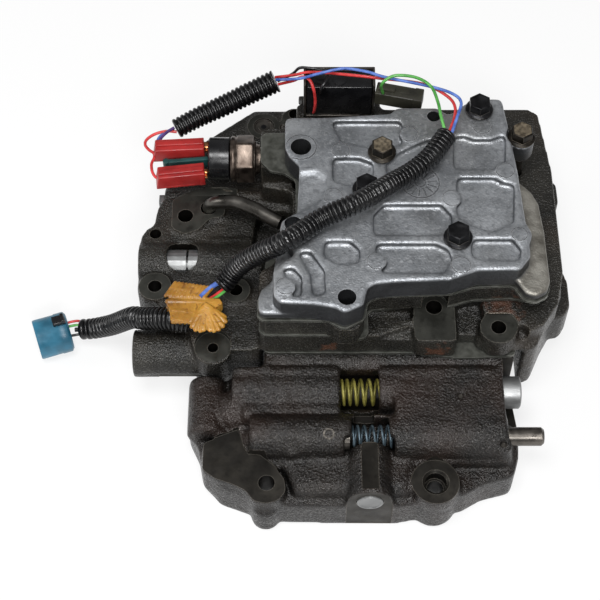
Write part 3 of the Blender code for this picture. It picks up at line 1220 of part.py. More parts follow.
make_lower_body()
make_middle_body()
make_upper_body()
make_plates()
make_cover()
make_bolts()
make_valve_train_a()
make_valve_train_b()
make_manual_valve()
make_plugs()
make_transfer_tube()
make_switch()
make_plug_body("switch_plug_rear", CAP_LEFT - TERMINAL_LENGTH - GAP, SWITCH_Y + 0.0082, -3)
make_plug_body("switch_plug_front", CAP_LEFT - TERMINAL_LENGTH - GAP, SWITCH_Y - 0.0098, 4)
make_solenoid()
make_coil_connector()
make_harness()
make_case_connector()
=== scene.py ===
"""Looks of the transmission valve body: castings, fasteners, springs, switch, solenoid and harness.

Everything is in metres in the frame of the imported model; sizes written as n * MM are millimetres.
"""

import json
import math

import bmesh
import bpy
from mathutils import Matrix, Vector

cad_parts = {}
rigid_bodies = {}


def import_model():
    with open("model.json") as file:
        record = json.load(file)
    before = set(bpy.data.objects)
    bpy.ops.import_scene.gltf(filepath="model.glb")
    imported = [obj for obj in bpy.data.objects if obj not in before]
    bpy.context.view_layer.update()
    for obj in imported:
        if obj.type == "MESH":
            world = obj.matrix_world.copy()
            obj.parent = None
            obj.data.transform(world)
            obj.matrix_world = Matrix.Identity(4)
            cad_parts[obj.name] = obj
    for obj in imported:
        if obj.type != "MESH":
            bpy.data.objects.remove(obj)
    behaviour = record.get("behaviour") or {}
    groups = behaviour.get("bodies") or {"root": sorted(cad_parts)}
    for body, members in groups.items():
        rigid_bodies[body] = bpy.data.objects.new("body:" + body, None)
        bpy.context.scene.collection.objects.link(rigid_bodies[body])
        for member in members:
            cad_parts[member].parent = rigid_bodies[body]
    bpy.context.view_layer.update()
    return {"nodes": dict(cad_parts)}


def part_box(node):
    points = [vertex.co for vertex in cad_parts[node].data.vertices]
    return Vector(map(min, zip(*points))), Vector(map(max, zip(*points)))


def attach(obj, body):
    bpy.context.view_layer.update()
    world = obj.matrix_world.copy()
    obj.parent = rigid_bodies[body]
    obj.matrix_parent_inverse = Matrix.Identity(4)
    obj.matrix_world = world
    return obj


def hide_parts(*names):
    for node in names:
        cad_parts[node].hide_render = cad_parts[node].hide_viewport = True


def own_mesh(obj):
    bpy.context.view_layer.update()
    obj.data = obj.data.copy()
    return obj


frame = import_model()
nodes = frame["nodes"]

MM = 0.001
BODY = "valve_body"
scene = bpy.context.scene


def mm(*values):
    """Millimetres as a tuple of metres."""
    return tuple(value * MM for value in values)


# Camera at the photograph's angle: from the front, 57.5 degrees above the floor
def make_camera():
    data = bpy.data.cameras.new("camera")
    data.lens = 90
    data.sensor_width = 36
    data.clip_end = 20
    camera = bpy.data.objects.new("camera", data)
    scene.collection.objects.link(camera)
    camera.location = (-0.027, -0.4131, 0.6814)
    aim = Vector((-0.027, -0.037, 0.091)) - camera.location
    camera.rotation_euler = aim.to_track_quat("-Z", "Y").to_euler()
    scene.camera = camera


make_camera()


# Mesh helpers: each gives a closed mesh, and piece() joins such meshes
def shape(build, place=Matrix.Identity(4), look=0, bevel=0.0, segments=2, angle=30):
    bm = bmesh.new()
    build(bm)
    bmesh.ops.remove_doubles(bm, verts=bm.verts, dist=1e-6)
    bmesh.ops.recalc_face_normals(bm, faces=bm.faces)
    if bevel:
        limit = math.radians(angle)
        sharp = [e for e in bm.edges if len(e.link_faces) == 2 and e.calc_face_angle() > limit]
        bmesh.ops.bevel(
            bm, geom=sharp, offset=bevel, segments=segments, affect="EDGES", profile=0.5, material=-1,
            clamp_overlap=True,
        )
    bm.transform(place)
    if look:
        for face in bm.faces:
            face.material_index = look
    mesh = bpy.data.meshes.new("shape")
    bm.to_mesh(mesh)
    bm.free()
    return mesh


def block(x, y, z, **more):
    middle = Vector(((x[0] + x[1]) / 2, (y[0] + y[1]) / 2, (z[0] + z[1]) / 2))
    size = Matrix.Diagonal((x[1] - x[0], y[1] - y[0], z[1] - z[0], 1))
    lay = Matrix.Translation(middle) @ size
    return shape(lambda bm: bmesh.ops.create_cube(bm, size=1, matrix=lay), **more)


def rod(start, end, radius, end_radius=None, sides=32, **more):
    start, end = Vector(start), Vector(end)
    axis = end - start
    lay = Matrix.Translation((start + end) / 2) @ axis.to_track_quat("Z", "Y").to_matrix().to_4x4()
    far = radius if end_radius is None else end_radius
    return shape(
        lambda bm: bmesh.ops.create_cone(
            bm, cap_ends=True, segments=sides, radius1=radius, radius2=far, depth=axis.length, matrix=lay
        ),
        **more,
    )


def post(centre, heights, radius, end_radius=None, sides=32, **more):
    """An upright rod, all in millimetres."""
    x, y = mm(*centre)
    low, high = mm(*heights)
    return rod((x, y, low), (x, y, high), radius * MM, end_radius and end_radius * MM, sides, **more)


def ball(centre, size, detail=3, **more):
    lay = Matrix.Translation(centre) @ Matrix.Diagonal((*size, 1))
    return shape(lambda bm: bmesh.ops.create_icosphere(bm, subdivisions=detail, radius=1, matrix=lay), **more)


def rounded(corners, radius, steps=4):
    """The corners of an outline in millimetres, each replaced by a short arc."""
    points = []
    for i, corner in enumerate(corners):
        corner = Vector(corner)
        back = Vector(corners[i - 1]) - corner
        ahead = Vector(corners[(i + 1) % len(corners)]) - corner
        turn = math.pi - back.angle(ahead)
        if turn < math.radians(12):
            points.append(corner)
            continue
        reach = min(radius * math.tan(turn / 2), 0.45 * back.length, 0.45 * ahead.length)
        first = corner + back.normalized() * reach
        last = corner + ahead.normalized() * reach
        for k in range(steps + 1):
            t = k / steps
            points.append(first * (1 - t) ** 2 + corner * 2 * t * (1 - t) + last * t**2)
    return points


def plate(corners, z, radius=2.0, **more):
    """A flat outline in millimetres between two heights in metres."""

    def build(bm):
        ring = [bm.verts.new((p.x * MM, p.y * MM, z[0])) for p in rounded(corners, radius)]
        face = bm.faces.new(ring)
        top = bmesh.ops.extrude_face_region(bm, geom=[face])
        lifted = [v for v in top["geom"] if isinstance(v, bmesh.types.BMVert)]
        bmesh.ops.translate(bm, verts=lifted, vec=(0, 0, z[1] - z[0]))

    return shape(build, **more)


def lathe(profile, place=Matrix.Identity(4), steps=40, **more):
    """A turned shape: the profile holds (radius, height) about the local Z axis."""

    def build(bm):
        line = [bm.verts.new((radius, 0, height)) for radius, height in profile]
        edges = [bm.edges.new(pair) for pair in zip(line, line[1:])]
        bmesh.ops.spin(
            bm, geom=line + edges, cent=(0, 0, 0), axis=(0, 0, 1), angle=2 * math.pi, steps=steps, use_merge=True
        )

    return shape(build, place=place, **more)


def along(origin, direction):
    """A placing matrix whose local Z axis points along direction."""
    return Matrix.Translation(origin) @ Vector(direction).to_track_quat("Z", "Y").to_matrix().to_4x4()


def smooth_path(route, step):
    """Evenly spaced points in metres on a smooth curve through a route in millimetres."""
    knots = [Vector(p) * MM for p in route]
    knots = [knots[0] * 2 - knots[1], *knots, knots[-1] * 2 - knots[-2]]
    fine = []
    for a, b, c, d in zip(knots, knots[1:], knots[2:], knots[3:]):
        for k in range(24):
            t = k / 24
            bend = (2 * a - 5 * b + 4 * c - d) * t**2 + (3 * b - a - 3 * c + d) * t**3
            fine.append(0.5 * (2 * b + (c - a) * t + bend))
    fine.append(knots[-2])
    lengths = [0.0]
    for a, b in zip(fine, fine[1:]):
        lengths.append(lengths[-1] + (b - a).length)
    count = max(2, round(lengths[-1] / step))
    points, k = [], 0
    for i in range(count + 1):
        want = lengths[-1] * i / count
        while k < len(fine) - 2 and lengths[k + 1] < want:
            k += 1
        share = (want - lengths[k]) / max(lengths[k + 1] - lengths[k], 1e-9)
        points.append(fine[k].lerp(fine[k + 1], min(1, share)))
    return points


def hose(points, radius, sizes=None, resolution=6, look=0):
    """A round tube along the points; sizes scale its radius at each of them."""
    curve = bpy.data.curves.new("path", "CURVE")
    curve.dimensions = "3D"
    spline = curve.splines.new("POLY")
    spline.points.add(len(points) - 1)
    for i, point in enumerate(points):
        spline.points[i].co = (*point, 1)
        spline.points[i].radius = sizes[i] if sizes else 1
    curve.bevel_depth = radius
    curve.bevel_resolution = resolution
    curve.use_fill_caps = True
    holder = bpy.data.objects.new("path", curve)
    scene.collection.objects.link(holder)
    bpy.context.view_layer.update()
    mesh = bpy.data.meshes.new_from_object(holder.evaluated_get(bpy.context.evaluated_depsgraph_get()))
    bpy.data.objects.remove(holder)
    bpy.data.curves.remove(curve)
    bm = bmesh.new()
    bm.from_mesh(mesh)
    bmesh.ops.remove_doubles(bm, verts=bm.verts, dist=1e-6)
    bmesh.ops.recalc_face_normals(bm, faces=bm.faces)
    for face in bm.faces:
        face.material_index = look
    bm.to_mesh(mesh)
    bm.free()
    return mesh


def merged(name, meshes):
    bm = bmesh.new()
    for mesh in meshes:
        bm.from_mesh(mesh)
    done = bpy.data.meshes.new(name)
    bm.to_mesh(done)
    bm.free()
    return done


def joined(name, meshes, looks, smooth=35):
    mesh = merged(name, meshes)
    for part in meshes:
        bpy.data.meshes.remove(part)
    for look in looks:
        mesh.materials.append(look)
    mesh.shade_smooth()
    mesh.set_sharp_from_angle(angle=math.radians(smooth))
    obj = bpy.data.objects.new(name, mesh)
    scene.collection.objects.link(obj)
    return obj


def piece(name, meshes, looks, body=BODY, stands_for=(), smooth=35):
    """A finished piece that rides on a body and stands for CAD nodes."""
    obj = joined(name, meshes, looks, smooth)
    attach(obj, body)
    if stands_for:
        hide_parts(*stands_for)
    return obj


def cut_out(mesh, cutters):
    """A mesh with other meshes taken out of it; a cut face takes the material of what cut it."""
    obj = bpy.data.objects.new("cast", mesh)
    scene.collection.objects.link(obj)
    group = bpy.data.collections.new("cutters")
    scene.collection.children.link(group)
    for cutter in cutters:
        group.objects.link(bpy.data.objects.new("cutter", cutter))
    carve = obj.modifiers.new("cut", "BOOLEAN")
    carve.operation = "DIFFERENCE"
    carve.operand_type = "COLLECTION"
    carve.collection = group
    carve.solver = "EXACT"
    carve.material_mode = "TRANSFER"
    bpy.context.view_layer.update()
    done = bpy.data.meshes.new_from_object(obj.evaluated_get(bpy.context.evaluated_depsgraph_get()))
    for old in [obj, *group.objects]:
        bpy.data.objects.remove(old, do_unlink=True)
    bpy.data.collections.remove(group)
    return done


def melted(mesh, voxel, rounds, share):
    """One soft skin over a mesh whose shapes run into each other."""
    obj = bpy.data.objects.new("cast", mesh)
    scene.collection.objects.link(obj)
    melt = obj.modifiers.new("melt", "REMESH")
    melt.mode = "VOXEL"
    melt.voxel_size = voxel
    soften = obj.modifiers.new("soften", "SMOOTH")
    soften.factor = 0.5
    soften.iterations = rounds
    thin = obj.modifiers.new("thin", "DECIMATE")
    thin.ratio = share
    bpy.context.view_layer.update()
    done = bpy.data.meshes.new_from_object(obj.evaluated_get(bpy.context.evaluated_depsgraph_get()))
    bpy.data.objects.remove(obj)
    return done


def casting(node, hollows, forms, milled, bored, looks, voxel, rounds, share):
    """A casting: the CAD solid with hollows and added forms melted into one skin, then machined crisp."""
    bm = bmesh.new()
    bm.from_mesh(nodes[node].data)
    bmesh.ops.remove_doubles(bm, verts=bm.verts, dist=2e-6)
    mesh = bpy.data.meshes.new(node)
    bm.to_mesh(mesh)
    bm.free()
    if hollows:
        mesh = cut_out(mesh, hollows)
    mesh = merged(node, [mesh, *forms])
    for face in mesh.polygons:
        face.material_index = 0
    mesh.materials.append(looks[0])
    mesh = melted(mesh, voxel, rounds, share)
    for look, cutters in ((looks[1], milled), (looks[2], bored)):
        for cutter in cutters:
            cutter.materials.append(look)
    mesh = cut_out(mesh, [*milled, *bored])
    mesh.shade_smooth()
    mesh.set_sharp_from_angle(angle=math.radians(32))
    obj = bpy.data.objects.new(f"{node}_casting", mesh)
    scene.collection.objects.link(obj)
    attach(obj, BODY)
    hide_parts(node)
    return obj


# Material helpers
def hexed(code):
    """An sRGB hex colour as linear red, green, blue and alpha."""
    parts = [int(code[i : i + 2], 16) / 255 for i in (1, 3, 5)]
    return (*[c / 12.92 if c <= 0.04045 else ((c + 0.055) / 1.055) ** 2.4 for c in parts], 1.0)


def add(tree, kind, inputs=None, **settings):
    """Adds a node: an input given as a socket is linked, any other value is set."""
    made = tree.nodes.new(kind)
    for name, value in settings.items():
        setattr(made, name, value)
    for name, value in (inputs or {}).items():
        if isinstance(value, bpy.types.NodeSocket):
            tree.links.new(value, made.inputs[name])
        else:
            made.inputs[name].default_value = value
    return made


def new_material(name, metallic, roughness, **more):
    made = bpy.data.materials.new(name)
    made.use_nodes = True
    shader = made.node_tree.nodes["Principled BSDF"]
    shader.inputs["Metallic"].default_value = metallic
    shader.inputs["Roughness"].default_value = roughness
    for socket, value in more.items():
        shader.inputs[socket.replace("_", " ").title()].default_value = value
    return made, made.node_tree, shader


def blotched(tree, vector, size_mm, low, high, detail=3.0, low_at=0.35, high_at=0.65):
    """A soft pattern of patches of about size_mm, from low to high."""
    noise = add(tree, "ShaderNodeTexNoise", {"Vector": vector, "Scale": 1000 / size_mm / 2, "Detail": detail})
    return ranged(tree, noise.outputs["Fac"], low_at, high_at, low, high)


def mixed(tree, share, first, second):
    return add(tree, "ShaderNodeMix", {0: share, 6: first, 7: second}, data_type="RGBA").outputs[2]


def bumped(tree, shader, height, depth_mm, strength=1.0):
    bump = add(tree, "ShaderNodeBump", {"Height": height, "Distance": depth_mm * MM, "Strength": strength})
    tree.links.new(bump.outputs[0], shader.inputs["Normal"])


def ranged(tree, value, low, high, to_low, to_high):
    return add(
        tree,
        "ShaderNodeMapRange",
        {"Value": value, "From Min": low, "From Max": high, "To Min": to_low, "To Max": to_high},
    ).outputs[0]


def worn_and_highlit_edges(tree, radius_mm, most):
    """Near 0 on flats and up to most on edges: partly edge wear, partly painted highlight along edges."""
    soft = add(tree, "ShaderNodeBevel", {"Radius": radius_mm * MM}, samples=4)
    flat = add(tree, "ShaderNodeNewGeometry")
    turn = add(
        tree, "ShaderNodeVectorMath", {0: soft.outputs[0], 1: flat.outputs["Normal"]}, operation="DOT_PRODUCT"
    )
    return ranged(tree, turn.outputs["Value"], 0.985, 0.90, 0, most)


def painted_corner_shade(tree, skin, colour, reach_mm, most):
    """Skin darkened in its corners and recesses where ambient occlusion finds them: painted shade."""
    open_sky = add(tree, "ShaderNodeAmbientOcclusion", {"Distance": reach_mm * MM}, samples=6)
    return mixed(tree, ranged(tree, open_sky.outputs["AO"], 0.85, 0.35, 0, most), skin, hexed(colour))


def uprightness(tree, here):
    """1 on level faces, 0 on walls."""
    normal = add(tree, "ShaderNodeSeparateXYZ", {0: here.outputs["Normal"]})
    return add(tree, "ShaderNodeMath", {0: normal.outputs[2]}, operation="ABSOLUTE").outputs[0]


# Oily sand-cast iron: a pebbly skin that glints where it faces the light, with painted highlight on its pebble crests
# and edges (the edges partly wear), painted shade near black in its corners, and rust spots
def cast_iron(name, dark, light, stain, highlight_and_wear, pebble, depth, rust=()):
    made, tree, shader = new_material(name, 0.25, 0.36)
    shader.inputs["Specular IOR Level"].default_value = 0.6
    here = add(tree, "ShaderNodeTexCoord").outputs["Object"]
    skin = mixed(tree, blotched(tree, here, 12, 0, 1), hexed(dark), hexed(light))
    skin = mixed(tree, blotched(tree, here, 24, 0, 0.6, 4, 0.50, 0.68), skin, hexed(stain))
    size = {"Vector": here, "Scale": 1000 / pebble, "Detail": 3.0, "Roughness": 0.55}
    grain = add(tree, "ShaderNodeTexNoise", size).outputs["Fac"]
    ragged = blotched(tree, here, 2.5, -4.5, 4.5, 5)
    for x, y, z, reach in rust:
        away = add(tree, "ShaderNodeVectorMath", {0: here, 1: (x * MM, y * MM, z * MM)}, operation="DISTANCE")
        away = add(tree, "ShaderNodeMath", {0: away.outputs["Value"], 1: 1000.0, 2: ragged}, operation="MULTIPLY_ADD")
        skin = mixed(tree, ranged(tree, away.outputs[0], reach, 0.2 * reach, 0, 0.55), skin, hexed("#6e4530"))
    # Painted highlight: pebble crests lightened towards the highlight colour
    skin = mixed(tree, ranged(tree, grain, 0.55, 0.68, 0, 0.18), skin, hexed(highlight_and_wear))
    # Edges lightened: partly wear, partly painted highlight
    skin = mixed(tree, worn_and_highlit_edges(tree, 0.7, 0.6), skin, hexed(highlight_and_wear))
    # Painted shade: near black in corners and recesses
    skin = painted_corner_shade(tree, skin, "#0b0a09", 6, 0.85)
    tree.links.new(skin, shader.inputs["Base Color"])
    tree.links.new(ranged(tree, grain, 0.38, 0.62, 0.46, 0.20), shader.inputs["Roughness"])
    lumps = blotched(tree, here, 3.2, 0, 1, 2, 0.3, 0.7)
    height = add(tree, "ShaderNodeMath", {0: lumps, 1: 0.5, 2: grain}, operation="MULTIPLY_ADD")
    bumped(tree, shader, height.outputs[0], depth)
    return made


BROWN_IRON = cast_iron("oily_brown_sand_cast_iron", "#0f0c0a", "#1e1915", "#2a1b15", "#5d554d", 1.15, 0.85)
DARK_IRON = cast_iron(
    "grey_sand_cast_iron", "#161512", "#2c2a25", "#33281f", "#6a655b", 1.0, 0.75,
    ((72, -21, 57, 10), (40, -42, 51, 5), (-14, -40, 50, 5)),
)


# Milled iron: flat, dark grey, with cutter haze and edges lightened, partly chipped wear and partly painted
# highlight; the front pads are oilier
def milled_iron(name, dark, light, highlight_and_wear):
    made, tree, shader = new_material(name, 0.7, 0.42)
    here = add(tree, "ShaderNodeTexCoord").outputs["Object"]
    skin = mixed(tree, blotched(tree, here, 7, 0, 1, 5), hexed(dark), hexed(light))
    skin = mixed(tree, blotched(tree, here, 1.6, 0, 0.5, 3, 0.55, 0.7), skin, hexed("#1c1a18"))
    # Edges lightened: partly chipped wear, partly painted highlight
    skin = mixed(tree, worn_and_highlit_edges(tree, 0.45, 0.9), skin, hexed(highlight_and_wear))
    tree.links.new(skin, shader.inputs["Base Color"])
    tree.links.new(blotched(tree, here, 3, 0.36, 0.52, 4), shader.inputs["Roughness"])
    fine = add(tree, "ShaderNodeTexNoise", {"Vector": here, "Scale": 1600, "Detail": 2.0})
    bumped(tree, shader, fine.outputs["Fac"], 0.05)
    return made


MILLED_IRON = milled_iron("face_milled_iron", "#32322e", "#474742", "#9a968d")
PAD_IRON = milled_iron("oily_face_milled_iron", "#22201d", "#37342f", "#7b766d")
# Bored iron: the oily inside of holes, windows and bores, near black partly from oil and partly as painted shade
BORED_IRON_DARK_FOR_SHADE = milled_iron("oily_bored_iron_painted_dark_for_shade", "#12100e", "#211e1a", "#7d786f")


# Die-cast aluminium: dull grey with bright shoulders that are painted highlight (partly wear), painted shade on its
# walls and in its pockets, and oil-stained on its lower step
def die_cast_aluminium():
    made, tree, shader = new_material("die_cast_aluminium", 0.8, 0.5)
    where = add(tree, "ShaderNodeTexCoord")
    here = where.outputs["Object"]
    skin = mixed(tree, blotched(tree, here, 12, 0, 1, 5), hexed("#83868a"), hexed("#adb0b4"))
    skin = mixed(tree, blotched(tree, here, 30, 0, 0.55, 5, 0.45, 0.7), skin, hexed("#7d7b75"))
    skin = mixed(tree, blotched(tree, here, 1.1, 0, 0.5, 4, 0.50, 0.68), skin, hexed("#6e7073"))
    skin = mixed(tree, blotched(tree, here, 0.9, 0, 0.45, 4, 0.54, 0.70), skin, hexed("#c4c6c9"))
    place = add(tree, "ShaderNodeSeparateXYZ", {0: here})
    right = ranged(tree, place.outputs[0], 0.055, 0.080, 0, 1)
    low = ranged(tree, place.outputs[2], 0.0816, 0.0836, 1, 0)
    step = add(tree, "ShaderNodeMath", {0: right, 1: low}, operation="MULTIPLY").outputs[0]
    stained = mixed(tree, blotched(tree, here, 5, 0, 1, 5), hexed("#77736b"), hexed("#a8a59d"))
    skin = mixed(tree, step, skin, stained)
    # Painted shade: walls darkened towards dark grey
    painted_wall_shade = ranged(tree, uprightness(tree, where), 0.10, 0.62, 0.92, 0)
    skin = mixed(tree, painted_wall_shade, skin, hexed("#343537"))
    # Painted shade: pockets and corners darkened
    skin = painted_corner_shade(tree, skin, "#37383a", 3.2, 0.75)
    # Shoulders and edges lightened near white: painted highlight, partly wear
    skin = mixed(tree, worn_and_highlit_edges(tree, 0.5, 0.65), skin, hexed("#d4d6d9"))
    tree.links.new(skin, shader.inputs["Base Color"])
    tree.links.new(blotched(tree, here, 5, 0.38, 0.56, 4), shader.inputs["Roughness"])
    grain = add(tree, "ShaderNodeTexNoise", {"Vector": here, "Scale": 1100, "Detail": 3.0})
    bumped(tree, shader, grain.outputs["Fac"], 0.26)
    return made


ALUMINIUM = die_cast_aluminium()


# Plain metals: colour patches, a fine grain and uneven gloss
def metal(name, dark, light, rough, patch=4.0, grain=0.5, depth=0.04, metallic=0.9, edge_wear_and_highlight=None):
    made, tree, shader = new_material(name, metallic, rough)
    here = add(tree, "ShaderNodeTexCoord").outputs["Object"]
    skin = mixed(tree, blotched(tree, here, patch, 0, 1, 5), hexed(dark), hexed(light))
    # Edges lightened: partly wear, partly painted highlight
    if edge_wear_and_highlight:
        skin = mixed(tree, worn_and_highlit_edges(tree, 0.35, 0.85), skin, hexed(edge_wear_and_highlight))
    tree.links.new(skin, shader.inputs["Base Color"])
    tree.links.new(blotched(tree, here, patch / 2, rough - 0.07, rough + 0.1, 4), shader.inputs["Roughness"])
    fine = add(tree, "ShaderNodeTexNoise", {"Vector": here, "Scale": 1000 / grain, "Detail": 2.0})
    bumped(tree, shader, fine.outputs["Fac"], depth)
    return made


# Rolled steel sheet with a grey-green oil tint
PLATE_STEEL = metal("rolled_steel_sheet", "#50514b", "#6c6d67", 0.46, 2.5, 0.8, 0.06, 0.8, "#b8b8b2")
# Black-oxide steel, worn to bare metal on its edges, the bright edges partly painted highlight
BLACK_STEEL = metal("black_oxide_steel", "#161618", "#2c2c2e", 0.38, 3, 0.4, 0.03, 0.8, "#6d6a66")
# Black-oxide steel browned by heat and oil, and bolt tops worn to matt tan metal
BROWNED_STEEL = metal("oil_browned_black_steel", "#191714", "#36312b", 0.42, 2.4, 0.5, 0.05, 0.8, "#6f685c")
BOLT_TOP = metal("worn_brown_bolt_top", "#473f33", "#7d7260", 0.55, 1.0, 0.5, 0.2, 0.5, "#8f8674")
# Ground tool steel
GREY_STEEL = metal("ground_steel", "#4b4844", "#716c66", 0.34, 4, 0.6, 0.02)
# Drawn and bent steel tube, oiled
TUBE_STEEL = metal("drawn_steel_tube", "#45423e", "#74716c", 0.33, 7, 0.9, 0.03, 1.0)
# Machined aluminium, bright from the cutter
BRIGHT_METAL = metal("machined_aluminium", "#7e7f7f", "#9a9b9b", 0.46, 5, 0.5, 0.02, 0.85)
# Painted spring wire: yellow-green enamel over steel
YELLOW_WIRE = metal("yellow_enamelled_spring_wire", "#6c672b", "#97904a", 0.40, 2, 0.4, 0.02, 0.35)
BLUE_GREY_WIRE = metal("blue_grey_spring_wire", "#3c4a53", "#667781", 0.38, 2, 0.4, 0.02, 0.6)
# Stamped copper
COPPER = metal("stamped_copper", "#a8623a", "#d99a6c", 0.28, 1.5, 0.4, 0.02, 1.0)
# Brown-plated steel of the switch
SWITCH_STEEL = metal("tarnished_nickel_plated_steel", "#3f3630", "#776b62", 0.38, 2.2, 0.6, 0.06, 0.95, "#9a8f86")


# Plastics: moulded, slightly uneven gloss, a little grime
def plastic(name, dark, light, rough, patch=6.0, grain=0.7, depth=0.04, coat=0.0):
    made, tree, shader = new_material(name, 0.0, rough, coat_weight=coat)
    here = add(tree, "ShaderNodeTexCoord").outputs["Object"]
    skin = mixed(tree, blotched(tree, here, patch, 0, 1, 4), hexed(dark), hexed(light))
    tree.links.new(skin, shader.inputs["Base Color"])
    tree.links.new(blotched(tree, here, patch / 2, rough - 0.06, rough + 0.1, 4), shader.inputs["Roughness"])
    fine = add(tree, "ShaderNodeTexNoise", {"Vector": here, "Scale": 1000 / grain, "Detail": 2.0})
    bumped(tree, shader, fine.outputs["Fac"], depth)
    return made


LOOM_PLASTIC = plastic("blow_moulded_nylon_loom", "#050506", "#0a0a0c", 0.27, 5, 0.9, 0.01)
BLACK_PLASTIC = plastic("moulded_black_phenolic", "#0a0a0c", "#161618", 0.24, 5, 0.8, 0.02)
RED_PLASTIC = plastic("moulded_red_nylon", "#8c1c1c", "#aa2a28", 0.34, 5, 0.6, 0.03)
TEAL_PLASTIC = plastic("moulded_dark_teal_nylon", "#10302f", "#1d4746", 0.38)
BLUE_PLASTIC = plastic("moulded_blue_nylon", "#1e5369", "#2f7591", 0.36, 6, 0.7, 0.03)
OLIVE_PLASTIC = plastic("moulded_olive_nylon", "#2a2922", "#3e3d31", 0.45)
WIRE_LOOKS = {
    "blue": plastic("extruded_blue_pvc", "#3d5aa4", "#6685d0", 0.34, 3, 0.5, 0.01),
    "red": plastic("extruded_red_pvc", "#b02a2a", "#dc4646", 0.34, 3, 0.5, 0.01),
    "green": plastic("extruded_green_pvc", "#3f8a38", "#64b357", 0.34, 3, 0.5, 0.01),
    "black": plastic("extruded_black_pvc", "#0d0d0f", "#1c1c1e", 0.34, 3, 0.5, 0.01),
    "purple": plastic("extruded_purple_pvc", "#3a2457", "#5a3d80", 0.34, 3, 0.5, 0.01),
}


# Amber cloth-backed tape: oil-soaked, slightly see-through, darker in the low places of its wrinkles, with painted
# shade in its fold bottoms
def amber_tape():
    made, tree, shader = new_material("oil_soaked_amber_tape", 0.0, 0.42, coat_weight=0.15)
    here = add(tree, "ShaderNodeTexCoord").outputs["Object"]
    skin = mixed(tree, blotched(tree, here, 7, 0, 1, 4), hexed("#875a14"), hexed("#bb8833"))
    # Painted shade: darker in fold bottoms and creases
    skin = painted_corner_shade(tree, skin, "#4f320b", 2.2, 0.9)
    wrinkle = add(tree, "ShaderNodeTexNoise", {"Vector": here, "Scale": 260, "Detail": 4.0, "Distortion": 1.2})
    skin = mixed(tree, ranged(tree, wrinkle.outputs["Fac"], 0.42, 0.34, 0, 0.7), skin, hexed("#6d4410"))
    tree.links.new(skin, shader.inputs["Base Color"])
    shader.inputs["Subsurface Weight"].default_value = 0.25
    shader.inputs["Subsurface Radius"].default_value = (0.004, 0.002, 0.0006)
    shader.inputs["Subsurface Scale"].default_value = 0.5
    bumped(tree, shader, wrinkle.outputs["Fac"], 0.4)
    return made


AMBER_TAPE = amber_tape()


# Floor and lights
def make_stage():
    made, tree, shader = new_material("pale_floor", 0.0, 0.9)
    shader.inputs["Base Color"].default_value = hexed("#f4f4f4")
    rays = add(tree, "ShaderNodeLightPath")
    seen = rays.outputs["Is Camera Ray"]
    for kind in ("Is Glossy Ray", "Is Transmission Ray"):
        seen = add(tree, "ShaderNodeMath", {0: seen, 1: rays.outputs[kind]}, operation="MAXIMUM").outputs[0]
    share = add(tree, "ShaderNodeMath", {0: seen, 1: 0.75}, operation="MULTIPLY")
    glow = add(tree, "ShaderNodeEmission", {"Color": (1, 1, 1, 1), "Strength": 1.0})
    blend = add(tree, "ShaderNodeMixShader", {0: share.outputs[0], 1: shader.outputs[0], 2: glow.outputs[0]})
    tree.links.new(blend.outputs[0], tree.nodes["Material Output"].inputs["Surface"])
    floor = joined("floor", [block((-3, 3), (-3, 3), (-0.02, -0.0002))], [made])

    world = bpy.data.worlds.new("studio")
    scene.world = world
    world.use_nodes = True
    tree = world.node_tree
    rays = add(tree, "ShaderNodeLightPath")
    background = tree.nodes["Background"]
    tree.links.new(ranged(tree, rays.outputs["Is Camera Ray"], 0, 1, 0.24, 1.0), background.inputs["Strength"])
    background.inputs["Color"].default_value = (1, 1, 1, 1)


def make_light(name, place, aim, size, power):
    data = bpy.data.lights.new(name, "AREA")
    data.shape = "RECTANGLE"
    data.size = size[0]
    data.size_y = size[1]
    data.energy = power
    lamp = bpy.data.objects.new(name, data)
    scene.collection.objects.link(lamp)
    lamp.location = place
    lamp.rotation_euler = (Vector(aim) - Vector(place)).to_track_quat("-Z", "Y").to_euler()


make_stage()
make_light("key", (-0.12, -0.30, 1.15), (-0.02, -0.02, 0.05), (0.5, 0.36), 8)
make_light("front", (0.12, -0.98, 1.0), (0, -0.04, 0.05), (0.5, 0.32), 10)
make_light("left", (-1.2, 0.1, 0.6), (0, 0, 0.05), (0.5, 0.5), 4)


# Harness routes: the points of the CAD source, with the two ends at the tape drawn further in
UPPER_CONDUIT_ROUTE = [
    (-92.4, 87.7, 63), (-80.3, 93.4, 66), (-66.5, 98.2, 70), (-52.8, 102.9, 74.5), (-39.6, 107, 79),
]
MAIN_CONDUIT_ROUTE = [
    (45.8, 54.9, 99.2), (41, 47.5, 98.7), (36.8, 41.5, 98.3), (31.7, 36.3, 97.9), (25.1, 30.9, 97.8),
    (18.6, 25.9, 98.9), (12.5, 19.8, 101.4), (5.5, 13.2, 103.8), (-2.5, 8.2, 103.8), (-12.7, 5.7, 99.9),
    (-19.4, 2.8, 97.8), (-26.5, -2.5, 97.1), (-33.2, -6.9, 96.8), (-38.9, -7.7, 92.5), (-44.3, -6.2, 86.5),
    (-50.3, -5, 79.5), (-54.9, -3.5, 72.5), (-59.1, -3.2, 65.5), (-62.8, -5.6, 60.6), (-66, -8.2, 58.4),
]
BUNDLE_MIDDLE = (-67.6, -9.8, 57.4)
WRAP_CENTRE = (-77.5, -19, 54.8)
TAIL_ROUTE = [
    (-81.5, -25.8, 52.8), (-85.5, -25.2, 53.3),
    (-89, -24.4, 53.4), (-91.4, -23.8, 53), (-95.5, -22.6, 51.6), (-100.5, -21, 48.8), (-105.4, -19.2, 45.8),
    (-110, -16.5, 42.7), (-114.4, -13.8, 36.5), (-119, -11.2, 29.5), (-124, -8.6, 22.5),
    (-129.5, -6.2, 16.6), (-135.4, -4.8, 12.6), (-141.5, -4.2, 10.9),
]
TAIL_WIRES_ROUTE = [(-142.5, -4.2, 10.9), (-144.8, -4.4, 10.8)]
